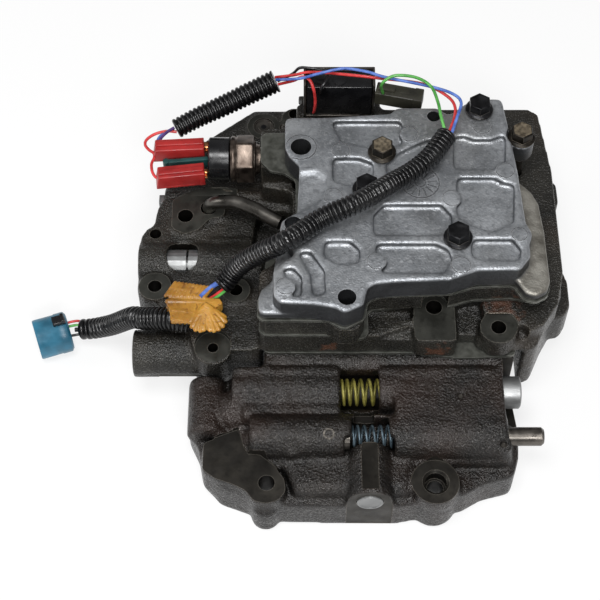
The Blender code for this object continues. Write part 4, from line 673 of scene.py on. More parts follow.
TUBE_ROUTE = [
    (-74.5, 46.6, 40), (-74.3, 46.0, 50), (-71.5, 43.8, 56.5), (-66, 42, 60.5),
    (-58.7, 40.3, 62), (-49.9, 35.7, 62.6), (-42.2, 30.6, 62.6), (-36.6, 27.4, 62.6),
]
WIRE_ROUTES = {
    "blue_wire": ("blue", [
        (-39.4, 106.1, 81), (-27, 100.5, 88.5), (-18.2, 99.9, 92.6), (-8.5, 101.2, 94.6), (-2.4, 101, 95.6),
        (7.8, 97.8, 96.6), (16.3, 93.7, 97.4), (38.8, 86.1, 99), (49.6, 80.8, 99.8), (53.8, 74.9, 100.2),
        (51.5, 65.7, 100.4), (47.7, 54.2, 99.8),
    ]),
    "red_wire_long": ("red", [
        (-39.9, 109.1, 79.5), (-30.1, 106.2, 84.6), (-23.9, 105.5, 87.4), (-15.1, 103.6, 89.6),
        (-6.4, 101, 91.4), (4.4, 98.2, 93), (15.1, 96, 93.6), (26.7, 93.7, 94.4), (36.8, 90.6, 95.2),
        (44.6, 85, 96), (50.2, 77.7, 96.8), (50.7, 69.1, 97), (46.3, 55.3, 97.4),
    ]),
    "red_wire_coil": ("red", [
        (-38.3, 105.4, 78.2), (-30.1, 104.3, 82.5), (-26, 102.6, 87.4), (-22.3, 99.7, 88.6),
        (-20.3, 96.4, 86.5), (-19.2, 96.4, 78.6), (-19.1, 96.4, 71.1), (-19.8, 97.4, 64.9),
    ]),
    "black_wire_coil": ("black", [
        (-38.9, 108.3, 77.3), (-31.2, 110.6, 80.2), (-27.4, 109.4, 86.4), (-22.8, 108.4, 87.6),
        (-17.6, 107.7, 87.4), (-13, 105.5, 87.8), (-12.2, 101.7, 88.2), (-14.1, 98.2, 88), (-15.9, 96.3, 86),
        (-16.6, 97.4, 81.1),
    ]),
    "green_wire": ("green", [
        (15.9, 93.7, 85), (14.9, 92.4, 90), (14.5, 89.7, 95.5), (16.1, 89.2, 100), (21.6, 91.1, 101.6),
        (31.6, 89.1, 102.4), (38.9, 82.6, 103), (41.8, 72.2, 103.4), (42.9, 63.6, 103), (44.6, 56.6, 100.8),
    ]),
    "red_wire_switch": ("red", [
        (-91.9, 86.4, 62.2), (-97, 86.4, 62.8), (-103, 84.6, 62.8), (-107.4, 81.2, 62.4), (-108.2, 78, 61.9),
        (-106, 75, 61.3), (-103.4, 73.2, 60.8), (-103.2, 70.5, 60.3), (-104.4, 67, 60), (-103.8, 62, 59.8),
        (-101.8, 58.4, 59.6), (-99.5, 57.4, 59.5),
    ]),
    "purple_wire_switch": ("purple", [
        (-93.2, 87.1, 64.8), (-96.5, 84.6, 64.6), (-99.5, 81.2, 64.2), (-100.8, 78.2, 63.6), (-100.6, 76.4, 63),
    ]),
    "blue_wire_switch": ("blue", [
        (-93.4, 89.1, 62), (-97.6, 86.4, 62), (-100.8, 83, 62.2), (-102, 79.6, 62), (-101.5, 77, 62),
    ]),
}
CONDUIT_RADIUS = 5.3 * MM
TAIL_RADIUS = 5.8 * MM
# Depths across one rib: a round crest and a narrow flat valley
RIB_DEPTH = (1, 0.48, 0.2, 0.07, 0.01, 0.01, 0.07, 0.2, 0.48, 1)


def loom(name, route, radius, pitch, swell, node):
    """Corrugated loom: round ribs and narrow valleys, hollow at both ends; pitch and radius may grow along it."""
    points, sizes = [], []
    fine = smooth_path(route, 0.05 * MM)
    at = k = 0
    while at < len(fine):
        share = at / len(fine)
        points.append(fine[int(at)])
        sizes.append((1 - 0.17 * RIB_DEPTH[k % len(RIB_DEPTH)]) * (1 + swell * share))
        at += (pitch[0] + (pitch[1] - pitch[0]) * share) / 0.05 / len(RIB_DEPTH)
        k += 1
    mesh = hose(points, radius, sizes, 9)
    bm = bmesh.new()
    bm.from_mesh(mesh)
    caps = [f for f in bm.faces if len(f.verts) > 8]
    bmesh.ops.inset_individual(bm, faces=caps, thickness=0.9 * MM)
    for cap in caps:
        inward = cap.normal * -5 * MM
        deeper = bmesh.ops.extrude_face_region(bm, geom=[cap])
        bmesh.ops.translate(bm, verts=[v for v in deeper["geom"] if isinstance(v, bmesh.types.BMVert)], vec=inward)
        bm.faces.remove(cap)
    bm.to_mesh(mesh)
    bm.free()
    return piece(name, [mesh], [LOOM_PLASTIC], stands_for=[node], smooth=60)


def make_wires():
    for name, (colour, route) in WIRE_ROUTES.items():
        mesh = hose(smooth_path(route, 1.5 * MM), 0.8 * MM, None, 3)
        piece(f"{name}_insulation", [mesh], [WIRE_LOOKS[colour]], stands_for=[name], smooth=60)


def make_bundle():
    """The wires that show between the main loom and the tape."""
    start = Vector((-64.6, -7.0, 59.6)) * MM
    end = Vector((-75.2, -16.6, 60.0)) * MM
    meshes = []
    strands = ((1.7, 0, 1.25), (-0.4, 1.2, 0.95), (-1.7, 1.6, 0.75), (-2.9, 1.6, 0.75))
    for k, (side, drop, radius) in enumerate(strands):
        across = Vector((-0.67, 0.74, 0)) * side * MM - Vector((0, 0, drop)) * MM
        bow = (start + end) / 2 + across * 1.15 + Vector(mm(0, 0, 0.6))
        route = [(p / MM)[:] for p in (start + across, bow, end + across * 0.8)]
        meshes.append(hose(smooth_path(route, 1.5 * MM), radius * MM, None, 4, look=k))
    looks = [WIRE_LOOKS["blue"], WIRE_LOOKS["black"], WIRE_LOOKS["red"], WIRE_LOOKS["green"]]
    return piece("harness_wires_bundle", meshes, looks, stands_for=["harness_wires"], smooth=60)


def make_tail_wires():
    """Three thin wires from the tail loom into the round connector."""
    meshes = []
    for k, (side, up) in enumerate(((3.6, 2.0), (0.4, 3.2), (-3.8, 0.6))):
        route = [
            (-138.6, -4.2 + side * 0.7, 11.2 + up * 0.6),
            (-142.6, -4.2 + side, 11.4 + up),
            (-146.0, -4.6 + side * 1.05, 11.2 + up),
            (-149.6, -5.4 + side, 11.0 + up),
        ]
        meshes.append(hose(smooth_path(route, 1.2 * MM), 0.7 * MM, None, 3, look=k))
    looks = [WIRE_LOOKS["red"], WIRE_LOOKS["green"], WIRE_LOOKS["black"]]
    return piece("tail_wires_fan", meshes, looks, stands_for=["tail_wires"], smooth=60)


def fold(start, end, radius, end_radius=None):
    """A rounded roll of tape between two points in millimetres."""
    start, end = Vector(start) * MM, Vector(end) * MM
    far = end_radius or radius
    return [
        rod(start, end, radius * MM, far * MM, 16),
        ball(start, [radius * MM] * 3, 2),
        ball(end, [far * MM] * 3, 2),
    ]


def make_wrap():
    """Amber tape: a finely pleated band over a smoother one, and a loose end flared like a fan."""
    meshes = fold((-88.5, -20.5, 54.6), (-70, -17.5, 54.6), 5.2)
    # Upper band: a flat core with pleats laid across it
    meshes += fold((-89.6, -10.6, 58.6), (-74, -13, 58.4), 2.6)
    for k in range(11):
        x = -93.2 + 1.9 * k
        lean = 4.6 - 0.1 * k
        meshes += fold((x, -14.9 - 0.1 * k, 60.0), (x + lean, -7.4 - 0.3 * k, 60.3), 0.9, 1.05)
    # Lower band: a wide flat strip with three long folds
    strip = [
        (-93.0, -18.4), (-90.8, -22.4), (-90.2, -29.0), (-81, -29.4), (-77, -23), (-68.5, -21.8), (-64.8, -19.2),
        (-66.5, -16.6), (-74, -15.6), (-91, -15.2),
    ]
    meshes.append(plate(strip, mm(56.4, 60.2), 1.2))
    meshes += fold((-92, -17.8, 59.4), (-67, -18.4, 58.8), 1.4)
    meshes += fold((-90, -23.2, 59.2), (-79, -24.2, 59), 1.3)
    meshes += fold((-89, -28.2, 58.6), (-81.8, -28.6, 58.6), 1.3)
    # Loose end: folds that spread from one pinch, longer in the middle of each wing
    pinch = (-73.2, -20.4, 61.2)
    for x, y in (
        (-80.2, -29.2), (-79.6, -31.6), (-77.8, -33.2), (-75.4, -33.8), (-73.8, -33.2),
        (-70.8, -33.4), (-68.8, -33.8), (-66.6, -33.0), (-64.6, -31.2), (-63.4, -28.6), (-63.8, -26.2),
    ):
        meshes += fold(pinch, (x, y, 58.4), 1.1, 1.25)
    mesh = melted(merged("tape", meshes), 0.34 * MM, 1, 0.45)
    return piece("harness_tape", [mesh], [AMBER_TAPE], stands_for=["harness_wrap"], smooth=60)


def make_case_connector():
    """The round blue connector at the harness end: a cup with a key groove and a mould step."""
    heading = math.radians(199)
    ahead = Vector((math.cos(heading), math.sin(heading), 0))
    lay = along(mm(-147.5, -5.0, 10.8), ahead)
    cup = lathe(
        [(0, 0), (0.0092, 0), (0.0099, 0.0006), (0.0104, 0.0009), (0.0107, 0.0014), (0.0107, 0.0060),
         (0.0104, 0.0064), (0.0105, 0.0168), (0.0102, 0.0175), (0.0094, 0.0176), (0.0091, 0.0172),
         (0.0089, 0.0052), (0, 0.0050)],
        lay, 56,
    )
    pins = []
    for k in range(6):
        angle = k * math.pi / 3
        foot = lay @ Vector((0.0046 * math.cos(angle), 0.0046 * math.sin(angle), 0.0045))
        pins.append(rod(foot, foot + ahead * 0.008, 0.0007, 0.0005, 10, look=1))
    groove = joined("groove", [block((-0.0012, 0.0012), (0.0088, 0.02), (0.0082, 0.03), bevel=0.0003)], [])
    spin = lay @ Matrix.Rotation(math.radians(200), 4, "Z")
    groove.data.transform(spin)
    shell = joined("case_connector_shell", [cup], [BLUE_PLASTIC, COPPER], 40)
    cut = shell.modifiers.new("key groove", "BOOLEAN")
    cut.operation = "DIFFERENCE"
    cut.object = groove
    cut.solver = "EXACT"
    bpy.context.view_layer.update()
    mesh = bpy.data.meshes.new_from_object(shell.evaluated_get(bpy.context.evaluated_depsgraph_get()))
    bpy.data.objects.remove(shell)
    bpy.data.objects.remove(groove)
    body = piece(
        "case_connector_shell", [mesh, *pins], [BLUE_PLASTIC, COPPER],
        stands_for=["case_connector"], smooth=40,
    )
    low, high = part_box("connector_clip")
    middle = (low + high) / 2
    spot = Matrix.Translation(middle) @ Matrix.Rotation(heading, 4, "Z")
    clip = piece(
        "connector_clip_moulding",
        [
            block((-0.0033, 0.0033), (-0.0024, 0.0024), (-0.0019, 0.0009), bevel=0.0004, place=spot),
            block((-0.0030, -0.0012), (-0.0024, 0.0024), (0.0002, 0.0020), bevel=0.0003, place=spot),
        ],
        [BLACK_PLASTIC], stands_for=["connector_clip"],
    )
    return body, clip


def make_harness():
    loom("upper_loom", UPPER_CONDUIT_ROUTE, CONDUIT_RADIUS, (2.45, 2.5), 0.16, "upper_conduit")
    main = loom("main_loom", MAIN_CONDUIT_ROUTE, CONDUIT_RADIUS, (2.35, 2.35), 0.0, "main_conduit")
    tail = loom("tail_loom", TAIL_ROUTE, TAIL_RADIUS, (1.9, 3.3), -0.05, "tail_conduit")
    make_wires()
    bundle = make_bundle()
    fan = make_tail_wires()
    wrap = make_wrap()
    shell, clip = make_case_connector()
    route = [*MAIN_CONDUIT_ROUTE, BUNDLE_MIDDLE, WRAP_CENTRE, *TAIL_ROUTE, *TAIL_WIRES_ROUTE]
    path = smooth_path(route, 4 * MM)
    strand = piece("harness_core", [hose(path, 1.2 * MM, None, 3)], [WIRE_LOOKS["black"]], smooth=60)


make_harness()


# Fasteners
def make_bolt(node, look, top_look):
    """Hex flange bolt: coned flange, chamfered hex with a dished top, and its shank."""
    low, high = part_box(node)
    x, y = (low.x + high.x) / 2, (low.y + high.y) / 2
    top = high.z
    seat = top - 6.6 * MM

    def head(bm):
        lay = Matrix.Translation((x, y, (seat + 0.4 * MM + top) / 2))
        bmesh.ops.create_cone(
            bm, cap_ends=True, segments=6, radius1=5.77 * MM, radius2=5.77 * MM, depth=6.2 * MM, matrix=lay
        )
        cap = max(bm.faces, key=lambda f: f.calc_center_median().z)
        bmesh.ops.bevel(
            bm, geom=list(cap.edges), offset=0.7 * MM, segments=3, affect="EDGES", profile=0.5, material=-1
        )
        cap = max(bm.faces, key=lambda f: f.calc_center_median().z)
        rims = bmesh.ops.inset_individual(bm, faces=[cap], thickness=0.9 * MM)["faces"]
        rims += bmesh.ops.inset_individual(bm, faces=[cap], thickness=0.6 * MM)["faces"]
        bmesh.ops.translate(bm, verts=cap.verts, vec=mm(0, 0, -0.22))
        for face in [cap, *rims]:
            face.material_index = 1

    flange = lathe(
        [(0, 0), mm(6.6, 0), mm(7.0, 0.3), mm(7.0, 0.8), mm(6.7, 1.1),
         mm(5.4, 1.8), mm(0, 2.0)],
        Matrix.Translation((x, y, seat)), 40,
    )
    shank = rod((x, y, low.z), (x, y, seat + 0.5 * MM), 3.0 * MM, sides=24, bevel=0.4 * MM)
    return piece(f"{node}_head", [shape(head), flange, shank], [look, top_look], stands_for=[node], smooth=38)


for name in ("cover_bolt_front", "cover_bolt_rear", "cover_bolt_centre"):
    make_bolt(name, BLACK_STEEL, BLACK_STEEL)
for name in ("cover_bolt_left", "cover_bolt_right"):
    make_bolt(name, BROWNED_STEEL, BOLT_TOP)


# Springs, plugs and the plunger
def spring(name, node, x, y, z, radius, wire, turns, look, slot, joint, anchor, keep):
    steps = 28
    count = turns * steps
    start = x[0] + wire
    length = x[1] - x[0] - 2 * wire
    points = []
    for i in range(count + 1):
        share = i / count
        angle = 2 * math.pi * turns * share
        at = start + length * (share - 0.035 * math.sin(2 * math.pi * share))
        points.append(Vector((at, y + (radius - wire) * math.cos(angle), z + (radius - wire) * math.sin(angle))))
    made = piece(name, [hose(points, wire, None, 3)], [look], stands_for=[node], smooth=60)
    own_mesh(made)
    return made


BORE_A = mm(-53.3, 31.5)
BORE_B = mm(-77.7, 31.5)
spring("yellow_coil", "yellow_spring", mm(-7.5, 25), *BORE_A, 6.9 * MM, 0.75 * MM, 9,
       YELLOW_WIRE, "yellow_spring_steel", "shift_valve_a_slide", 25 * MM, 0.8154)
spring("blue_grey_coil", "blue_spring", mm(-2.7, 22), *BORE_B, 5.8 * MM, 0.65 * MM, 7,
       BLUE_GREY_WIRE, "blue_spring_steel", "shift_valve_b_slide", 22 * MM, 0.7976)
spring("return_coil", "plunger_spring", mm(26.6, 41.7), *BORE_B, 5.2 * MM, 0.5 * MM, 5,
       GREY_STEEL, "grey_steel", "plunger_slide", 26.6 * MM, 0.47)


def make_bore_plug():
    """Bright turned plug: a dished end with a small centre mark and a groove for its pin."""
    low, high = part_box("bore_plug")
    lay = along((low.x, *BORE_A), (1, 0, 0))
    reach = high.x - low.x
    pin = 51.1 * MM - low.x
    body = lathe(
        [(0, reach - 2.6 * MM), (0.9 * MM, reach - 2.6 * MM),
         (0.9 * MM, reach - 1.5 * MM), (5.0 * MM, reach - 1.5 * MM),
         (5.2 * MM, reach - 1.3 * MM), (5.2 * MM, reach - 0.1 * MM), (5.5 * MM, reach), (7.3 * MM, reach),
         (8.05 * MM, reach - 0.7 * MM), (8.05 * MM, pin + 2.2 * MM), (5.1 * MM, pin + 2.2 * MM),
         (5.1 * MM, pin - 2.2 * MM), (8.05 * MM, pin - 2.2 * MM), mm(8.05, 0.4), mm(7.7, 0), (0, 0)],
        lay, 48,
    )
    piece("bore_plug_turned", [body], [BRIGHT_METAL], stands_for=["bore_plug"], smooth=30)


def make_plunger():
    """Ground steel plunger with a chamfered, centre-drilled end."""
    low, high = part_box("throttle_plunger")
    reach = high.x - low.x
    body = lathe(
        [(0, reach - 1.2 * MM), (1.0 * MM, reach), (3.5 * MM, reach), (4.6 * MM, reach - 1.3 * MM), mm(4.6, 6),
         mm(6.7, 6), mm(6.7, 0), (0, 0)],
        along((low.x, *BORE_B), (1, 0, 0)), 40,
    )
    piece("plunger_turned", [body], [GREY_STEEL], "throttle_plunger", ["throttle_plunger"], 30)


def make_front_plug():
    low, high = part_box("front_plug")
    centre = (low + high) / 2
    depth = high.y - low.y
    disc = lathe(
        [(0, depth - 0.3 * MM), (5.0 * MM, depth - 0.3 * MM), (5.3 * MM, depth), (6.0 * MM, depth),
         (6.4 * MM, depth - 0.4 * MM), mm(6.4, 0), (0, 0)],
        along((centre.x, high.y, centre.z), (0, -1, 0)), 48,
    )
    piece("front_plug_disc", [disc], [BRIGHT_METAL], stands_for=["front_plug"], smooth=30)


def make_socket_plug():
    """Hex-socket plug flush in its boss, with a bright rim."""
    low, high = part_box("socket_plug")
    centre = (low + high) / 2
    top, depth = high.z, high.z - low.z

    def build(bm):
        lay = Matrix.Translation((centre.x, centre.y, centre.z))
        bmesh.ops.create_cone(
            bm, cap_ends=True, segments=48, radius1=5.2 * MM, radius2=5.2 * MM, depth=depth, matrix=lay
        )
        cap = max(bm.faces, key=lambda f: f.calc_center_median().z)
        for thickness, drop in ((0.5, 0), (0.35, -0.5), (1.2, 0), (0.3, 0.3)):
            bmesh.ops.inset_individual(bm, faces=[cap], thickness=thickness * MM)
            bmesh.ops.translate(bm, verts=cap.verts, vec=(0, 0, drop * MM))

    x, y = centre.x, centre.y
    socket = rod((x, y, top - 0.6 * MM), (x, y, top - 0.15 * MM), 1.7 * MM, sides=6, look=1)
    piece("socket_plug_turned", [shape(build), socket], [GREY_STEEL, BLACK_STEEL],
          stands_for=["socket_plug"], smooth=25)


make_bore_plug()
make_plunger()
make_front_plug()
make_socket_plug()


# Pressure switch and its plugs
SWITCH = mm(69.0, 61.5)


def make_switch():
    """Crimped collar, rounded hex, neck and thread of the switch."""
    lay = along((-63.2 * MM, *SWITCH), (1, 0, 0))

    def hexagon(bm):
        bmesh.ops.create_cone(
            bm, cap_ends=True, segments=6, radius1=12.7 * MM, radius2=12.7 * MM, depth=9.2 * MM,
            matrix=Matrix.Translation(mm(0, 0, 7.8)) @ Matrix.Rotation(math.radians(60), 4, "Z"),
        )

    collar = lathe(
        [(0, 0), mm(10.2, 0), mm(11.3, 0.3), mm(11.8, 1.0), mm(11.8, 2.2), mm(11.2, 3.0),
         mm(11.0, 3.6), mm(0, 3.6)],
        lay, 56,
    )
    neck = lathe(
        [mm(0, 12.0), mm(9.4, 12.0), mm(9.6, 12.8), mm(8.0, 13.4), mm(7.5, 14.4),
         mm(7.5, 15.4), mm(6.0, 15.4), mm(6.0, 25.4), mm(0, 25.4)],
        lay, 40,
    )
    piece(
        "switch_hex", [collar, shape(hexagon, place=lay, bevel=1.0 * MM, segments=4), neck], [SWITCH_STEEL],
        stands_for=["switch_body"], smooth=40,
    )
    cap = lathe(
        [(0, 0), mm(10.4, 0), mm(11.1, 0.5), mm(11.2, 1.2), mm(11.2, 10.6), mm(0, 10.9)],
        along((-74.4 * MM, *SWITCH), (1, 0, 0)), 56,
    )
    piece("switch_cap_moulding", [cap], [BLACK_PLASTIC], stands_for=["switch_cap"], smooth=40)
    low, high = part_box("switch_divider")
    middle = (low.y + high.y) / 2
    top = SWITCH[1] + 0.9 * MM
    blade = block((low.x + 1.5 * MM, high.x), (low.y, high.y), (low.z + 1 * MM, top), bevel=0.4 * MM)
    left = low.x + 2.2 * MM
    nose = rod((left, middle, low.z + 1 * MM), (left, middle, top + 0.3 * MM), 1.7 * MM, sides=24, bevel=0.3 * MM)
    root = Matrix.Translation((high.x, middle, 0))
    turn = root @ Matrix.Rotation(math.radians(5.5), 4, "Z") @ root.inverted()
    for mesh in (blade, nose):
        mesh.transform(turn)
    piece("switch_divider_blade", [blade, nose], [TEAL_PLASTIC], stands_for=["switch_divider"])


def make_red_plug(node, right, y, turn, flip, length):
    """A moulded red plug: slanted left end, long top rib, side lip and a latch slot."""
    width, height = 7.8 * MM, 9.2 * MM
    z = SWITCH[1]

    def shell(bm):
        bmesh.ops.create_cube(bm, size=1, matrix=Matrix.Diagonal((length, width, height, 1)))
        left = [v for v in bm.verts if v.co.x < 0 and v.co.z > 0]
        bmesh.ops.translate(bm, verts=left, vec=mm(1.6, 0, 0))

    rib_side = -0.6 * MM if flip else 0.4 * MM
    parts = [
        shape(shell, bevel=0.6 * MM, segments=3),
        block((-length / 2 + 1.9 * MM, length / 2 - 0.5 * MM), (rib_side - 1.5 * MM, rib_side + 1.5 * MM),
              (height / 2 - 0.5 * MM, height / 2 + 1.1 * MM), bevel=0.45 * MM, segments=3),
        block((length / 2 - 3.0 * MM, length / 2), (-width / 2 - 0.05 * MM, width / 2 + 0.05 * MM),
              (-height / 2, height / 2 - 0.2 * MM), bevel=0.3 * MM),
        block((-length / 2 + 3 * MM, length / 2 - 5 * MM), (-width / 2 - 0.15 * MM, width / 2 + 0.15 * MM),
              (-height / 2 + 0.4 * MM, -height / 2 + 1.8 * MM), bevel=0.3 * MM),
    ]
    lay = (
        Matrix.Translation((right, y, z))
        @ Matrix.Rotation(math.radians(turn), 4, "Z")
        @ Matrix.Translation((-length / 2, 0, 0))
    )
    for mesh in parts:
        mesh.transform(lay)
    piece(f"{node}_moulding", parts, [RED_PLASTIC], stands_for=[node], smooth=40)
    low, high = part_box(f"{node}_terminal")
    parts = [
        block((low.x - 1.0 * MM, high.x), (low.y + 0.1 * MM, high.y - 0.1 * MM), (low.z, high.z), bevel=0.15 * MM),
        rod((low.x, y, z + 0.9 * MM), (high.x - 0.1 * MM, y, z + 0.9 * MM), 1.3 * MM, sides=20, bevel=0.2 * MM),
        rod((low.x, y, z - 1.1 * MM), (high.x - 0.1 * MM, y, z - 1.1 * MM), 1.3 * MM, sides=20, bevel=0.2 * MM),
    ]
    piece(f"{node}_terminal_blade", parts, [COPPER], stands_for=[f"{node}_terminal"])


make_switch()
make_red_plug("switch_plug_rear", -77.1 * MM, 75.8 * MM, 3.5, False, 27 * MM)
make_red_plug("switch_plug_front", -76.4 * MM, 59.4 * MM, 7, True, 25.5 * MM)


# Solenoid with its bent frame and olive connector
def make_solenoid():
    low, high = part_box("solenoid_frame")
    wall = 1.3 * MM
    mid = (low.y + high.y) / 2
    sides = [
        block((low.x, low.x + wall), (low.y, high.y), (low.z, high.z), bevel=0.35 * MM),
        block((high.x - wall, high.x), (low.y, high.y), (low.z, high.z), bevel=0.35 * MM),
        block((low.x, high.x), (high.y - wall, high.y), (low.z, high.z), bevel=0.35 * MM),
        block((low.x, high.x), (low.y, high.y), (low.z, low.z + wall), bevel=0.35 * MM),
    ]
    piece("solenoid_strip", sides, [GREY_STEEL], stands_for=["solenoid_frame"])
    low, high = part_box("solenoid_coil")
    x, y = (low.x + high.x) / 2, mid - 1 * MM
    coil = [
        block((low.x, high.x), (low.y, high.y - wall), (low.z, high.z - 0.6 * MM), bevel=0.5 * MM, segments=3),
        rod((x, y, high.z - 1.4 * MM), (x, y, high.z), 3.6 * MM, sides=40, bevel=0.3 * MM),
    ]
    piece("solenoid_winding", coil, [BLACK_PLASTIC], stands_for=["solenoid_coil"])
    lay = Matrix.Translation(mm(12.6, 98.2, 80)) @ Matrix.Rotation(math.radians(-13), 4, "Z")
    parts = [
        block(mm(0, 24.5), mm(-4.2, 4.2), mm(-4.2, 4.2), bevel=0.6 * MM, segments=3),
        block(mm(1, 10), mm(-2, 2), mm(3, 5.8), bevel=0.4 * MM),
        block(mm(20, 24.6), mm(-4.4, 4.4), mm(-4.4, 4.4), bevel=0.5 * MM),
        block(mm(12, 18), mm(-1.2, 1.2), mm(3.9, 4.6), bevel=0.3 * MM),
    ]
    for mesh in parts:
        mesh.transform(lay)
    piece("coil_connector_moulding", parts, [OLIVE_PLASTIC], stands_for=["coil_connector"])


make_solenoid()


def make_tube():
    points = smooth_path(TUBE_ROUTE, 1.5 * MM)
    sizes = [1.06 + 0.16 * min(1, 1.6 * i / len(points)) for i in range(len(points))]
    mesh = hose(points, 3.1 * MM, sizes, 12)
    piece("transfer_tube_bent", [mesh], [TUBE_STEEL], stands_for=["transfer_tube"], smooth=60)


make_tube()


# Castings: holes and bosses that more than one cut shares, and the levels of the milled faces, in millimetres
PAD_HOLE = (-43.1, -100.8)
CSK_HOLE = (38.2, -100.3)
PAD_LEVEL = 28.0
LEFT_LEVEL = 49.0
MOUNT_HOLE = (-100.0, -2.0)
TAPE_HOLE = (-59.2, -4.2)
ROUND_BOSS = (-70.0, -35.0)
RIGHT_LUG = (69.7, -32.2)
SOCKET_PLUG = (-46.6, 101)
REAR_HOLE = (-26.5, 53.5)
COVER_TOP = 90.9


def upright_hole(centre, radius, low, high):
    """A drilled hole: what fills it in the cast skin, and what cuts it afterwards."""
    return post(centre, (low, high), radius + 0.4, sides=40), post(centre, (low - 3, high + 6), radius, sides=48)


def make_lower_casting():
    drilled = [
        upright_hole(PAD_HOLE, 4.0, 1, 27.9),
        upright_hole(CSK_HOLE, 4.0, 1, 27.9),
    ]
    pad = [
        (-74.5, -79.4), (-57, -72.3), (-54.4, -81.6), (-52.2, -85.4), (-46.4, -86), (-39.5, -91.8),
        (-34.2, -98.6), (-33.7, -105), (-37, -110), (-43, -112), (-49.4, -110.4), (-53.6, -104.6),
        (-59.1, -101.9), (-68, -98.7), (-74.5, -94),
    ]
    grown = [((x + 52) * 1.02 - 52, (y + 93) * 1.02 - 93) for x, y in pad]
    tail = [(27, -96.5), (31, -94), (33, -107), (28, -104.5), (25.8, -100.5)]
    forms = [fill for fill, _ in drilled]
    forms += [
        plate(pad, mm(20, 28.9), 2.5),
        post(CSK_HOLE, (20, 29), 11.9, 11.7, 40),
        plate(tail, mm(16, 28.9), 1.5),
        # Round bump and ring mark on the front slope
        ball(mm(-31.5, -86, 33.5), mm(4.6, 4.2, 3.6)),
        # Fillets that lead from the ridges down to the pads
        rod(mm(-30, -88, 24), mm(-6, -92, 25.5), 4.2 * MM, 3.4 * MM, 20),
        rod(mm(18, -92, 26), mm(30, -95, 25), 3.4 * MM, 3.2 * MM, 20),
        ball(mm(-47, -78, 28), mm(9, 6.5, 6)),
        # Crest of the rear ridge on both sides of the spring window
        rod(mm(-46, -46.4, 40.4), mm(-9, -46.4, 40.4), 2.7 * MM, sides=24),
        rod(mm(14, -46.4, 40.4), mm(68, -46.4, 40.4), 2.7 * MM, sides=24),
        # Soft valley between the ridges, and the hump where both meet on the left
        rod(mm(-55, -65.6, 33.0), mm(-7, -65.6, 33.4), 5.8 * MM, sides=28),
        ball(mm(-60, -62, 31), mm(9, 10, 6)),
        # Front boss, its rear end rounded over the spring
        rod(mm(6.5, -109.6, 25), mm(6.5, -84.5, 25), 11.3 * MM, 11.6 * MM, 40),
        ball(mm(6.5, -84.5, 25), mm(11, 6, 11.6)),
    ]
    milled = [
        plate(grown, mm(PAD_LEVEL, 36), 1),
        post(CSK_HOLE, (PAD_LEVEL, 36), 11.7, sides=48),
        plate(tail, mm(PAD_LEVEL, 36), 1),
        post(CSK_HOLE, (26.8, 28.4), 5.3, 6.9, 48),
        block(mm(72.5, 90), mm(-70, -40), mm(15, 60)),
        block(mm(2.4, 10.6), mm(-107.5, -81), mm(35.2, 40), bevel=0.3 * MM),
        block(mm(-4.6, 17.6), mm(-116, -109.4), mm(1, 40)),
    ]
    bored = [drill for _, drill in drilled]
    bored += [
        rod((-57 * MM, *BORE_A), (95 * MM, *BORE_A), 8.45 * MM, sides=56),
        rod((-47 * MM, *BORE_B), (3 * MM, *BORE_B), 7.05 * MM, sides=56),
        rod((2.9 * MM, *BORE_B), (15.9 * MM, *BORE_B), 6.1 * MM, sides=56),
        rod((15.8 * MM, *BORE_B), (95 * MM, *BORE_B), 7.05 * MM, sides=56),
        post(CSK_HOLE, (21, 27.2), 5.3, sides=48),
        block(mm(-7.0, 11.2), mm(-66.3, -45.7), mm(28.5, 52), bevel=1.2 * MM, segments=3),
        block(mm(-1.8, 15.8), mm(-79.4, -71.1), mm(29.5, 52), bevel=1.2 * MM, segments=3),
        block(mm(-1.0, 9.0), mm(-74, -62), mm(32.0, 52), bevel=1.6 * MM, segments=3),
        rod(mm(6.5, -125, 25), mm(6.5, -96, 25), 6.7 * MM, sides=48),
    ]
    ring = [mm(2.1, -0.35), mm(2.6, -0.35), mm(2.6, 2), mm(2.1, 2), mm(2.1, -0.35)]
    milled.append(lathe(ring, along(mm(-13.2, -81.2, 41.2), (0, -0.34, 0.94)), 32))
    hollows = [
        # Room round the front boss, where the front ridge stops
        block(mm(-5.4, 18.4), mm(-96, -81.6), mm(30.4, 60), bevel=1 * MM),
    ]
    looks = (BROWN_IRON, PAD_IRON, BORED_IRON_DARK_FOR_SHADE)
    casting("lower_body", hollows, forms, milled, bored, looks, 0.85 * MM, 24, 0.5)


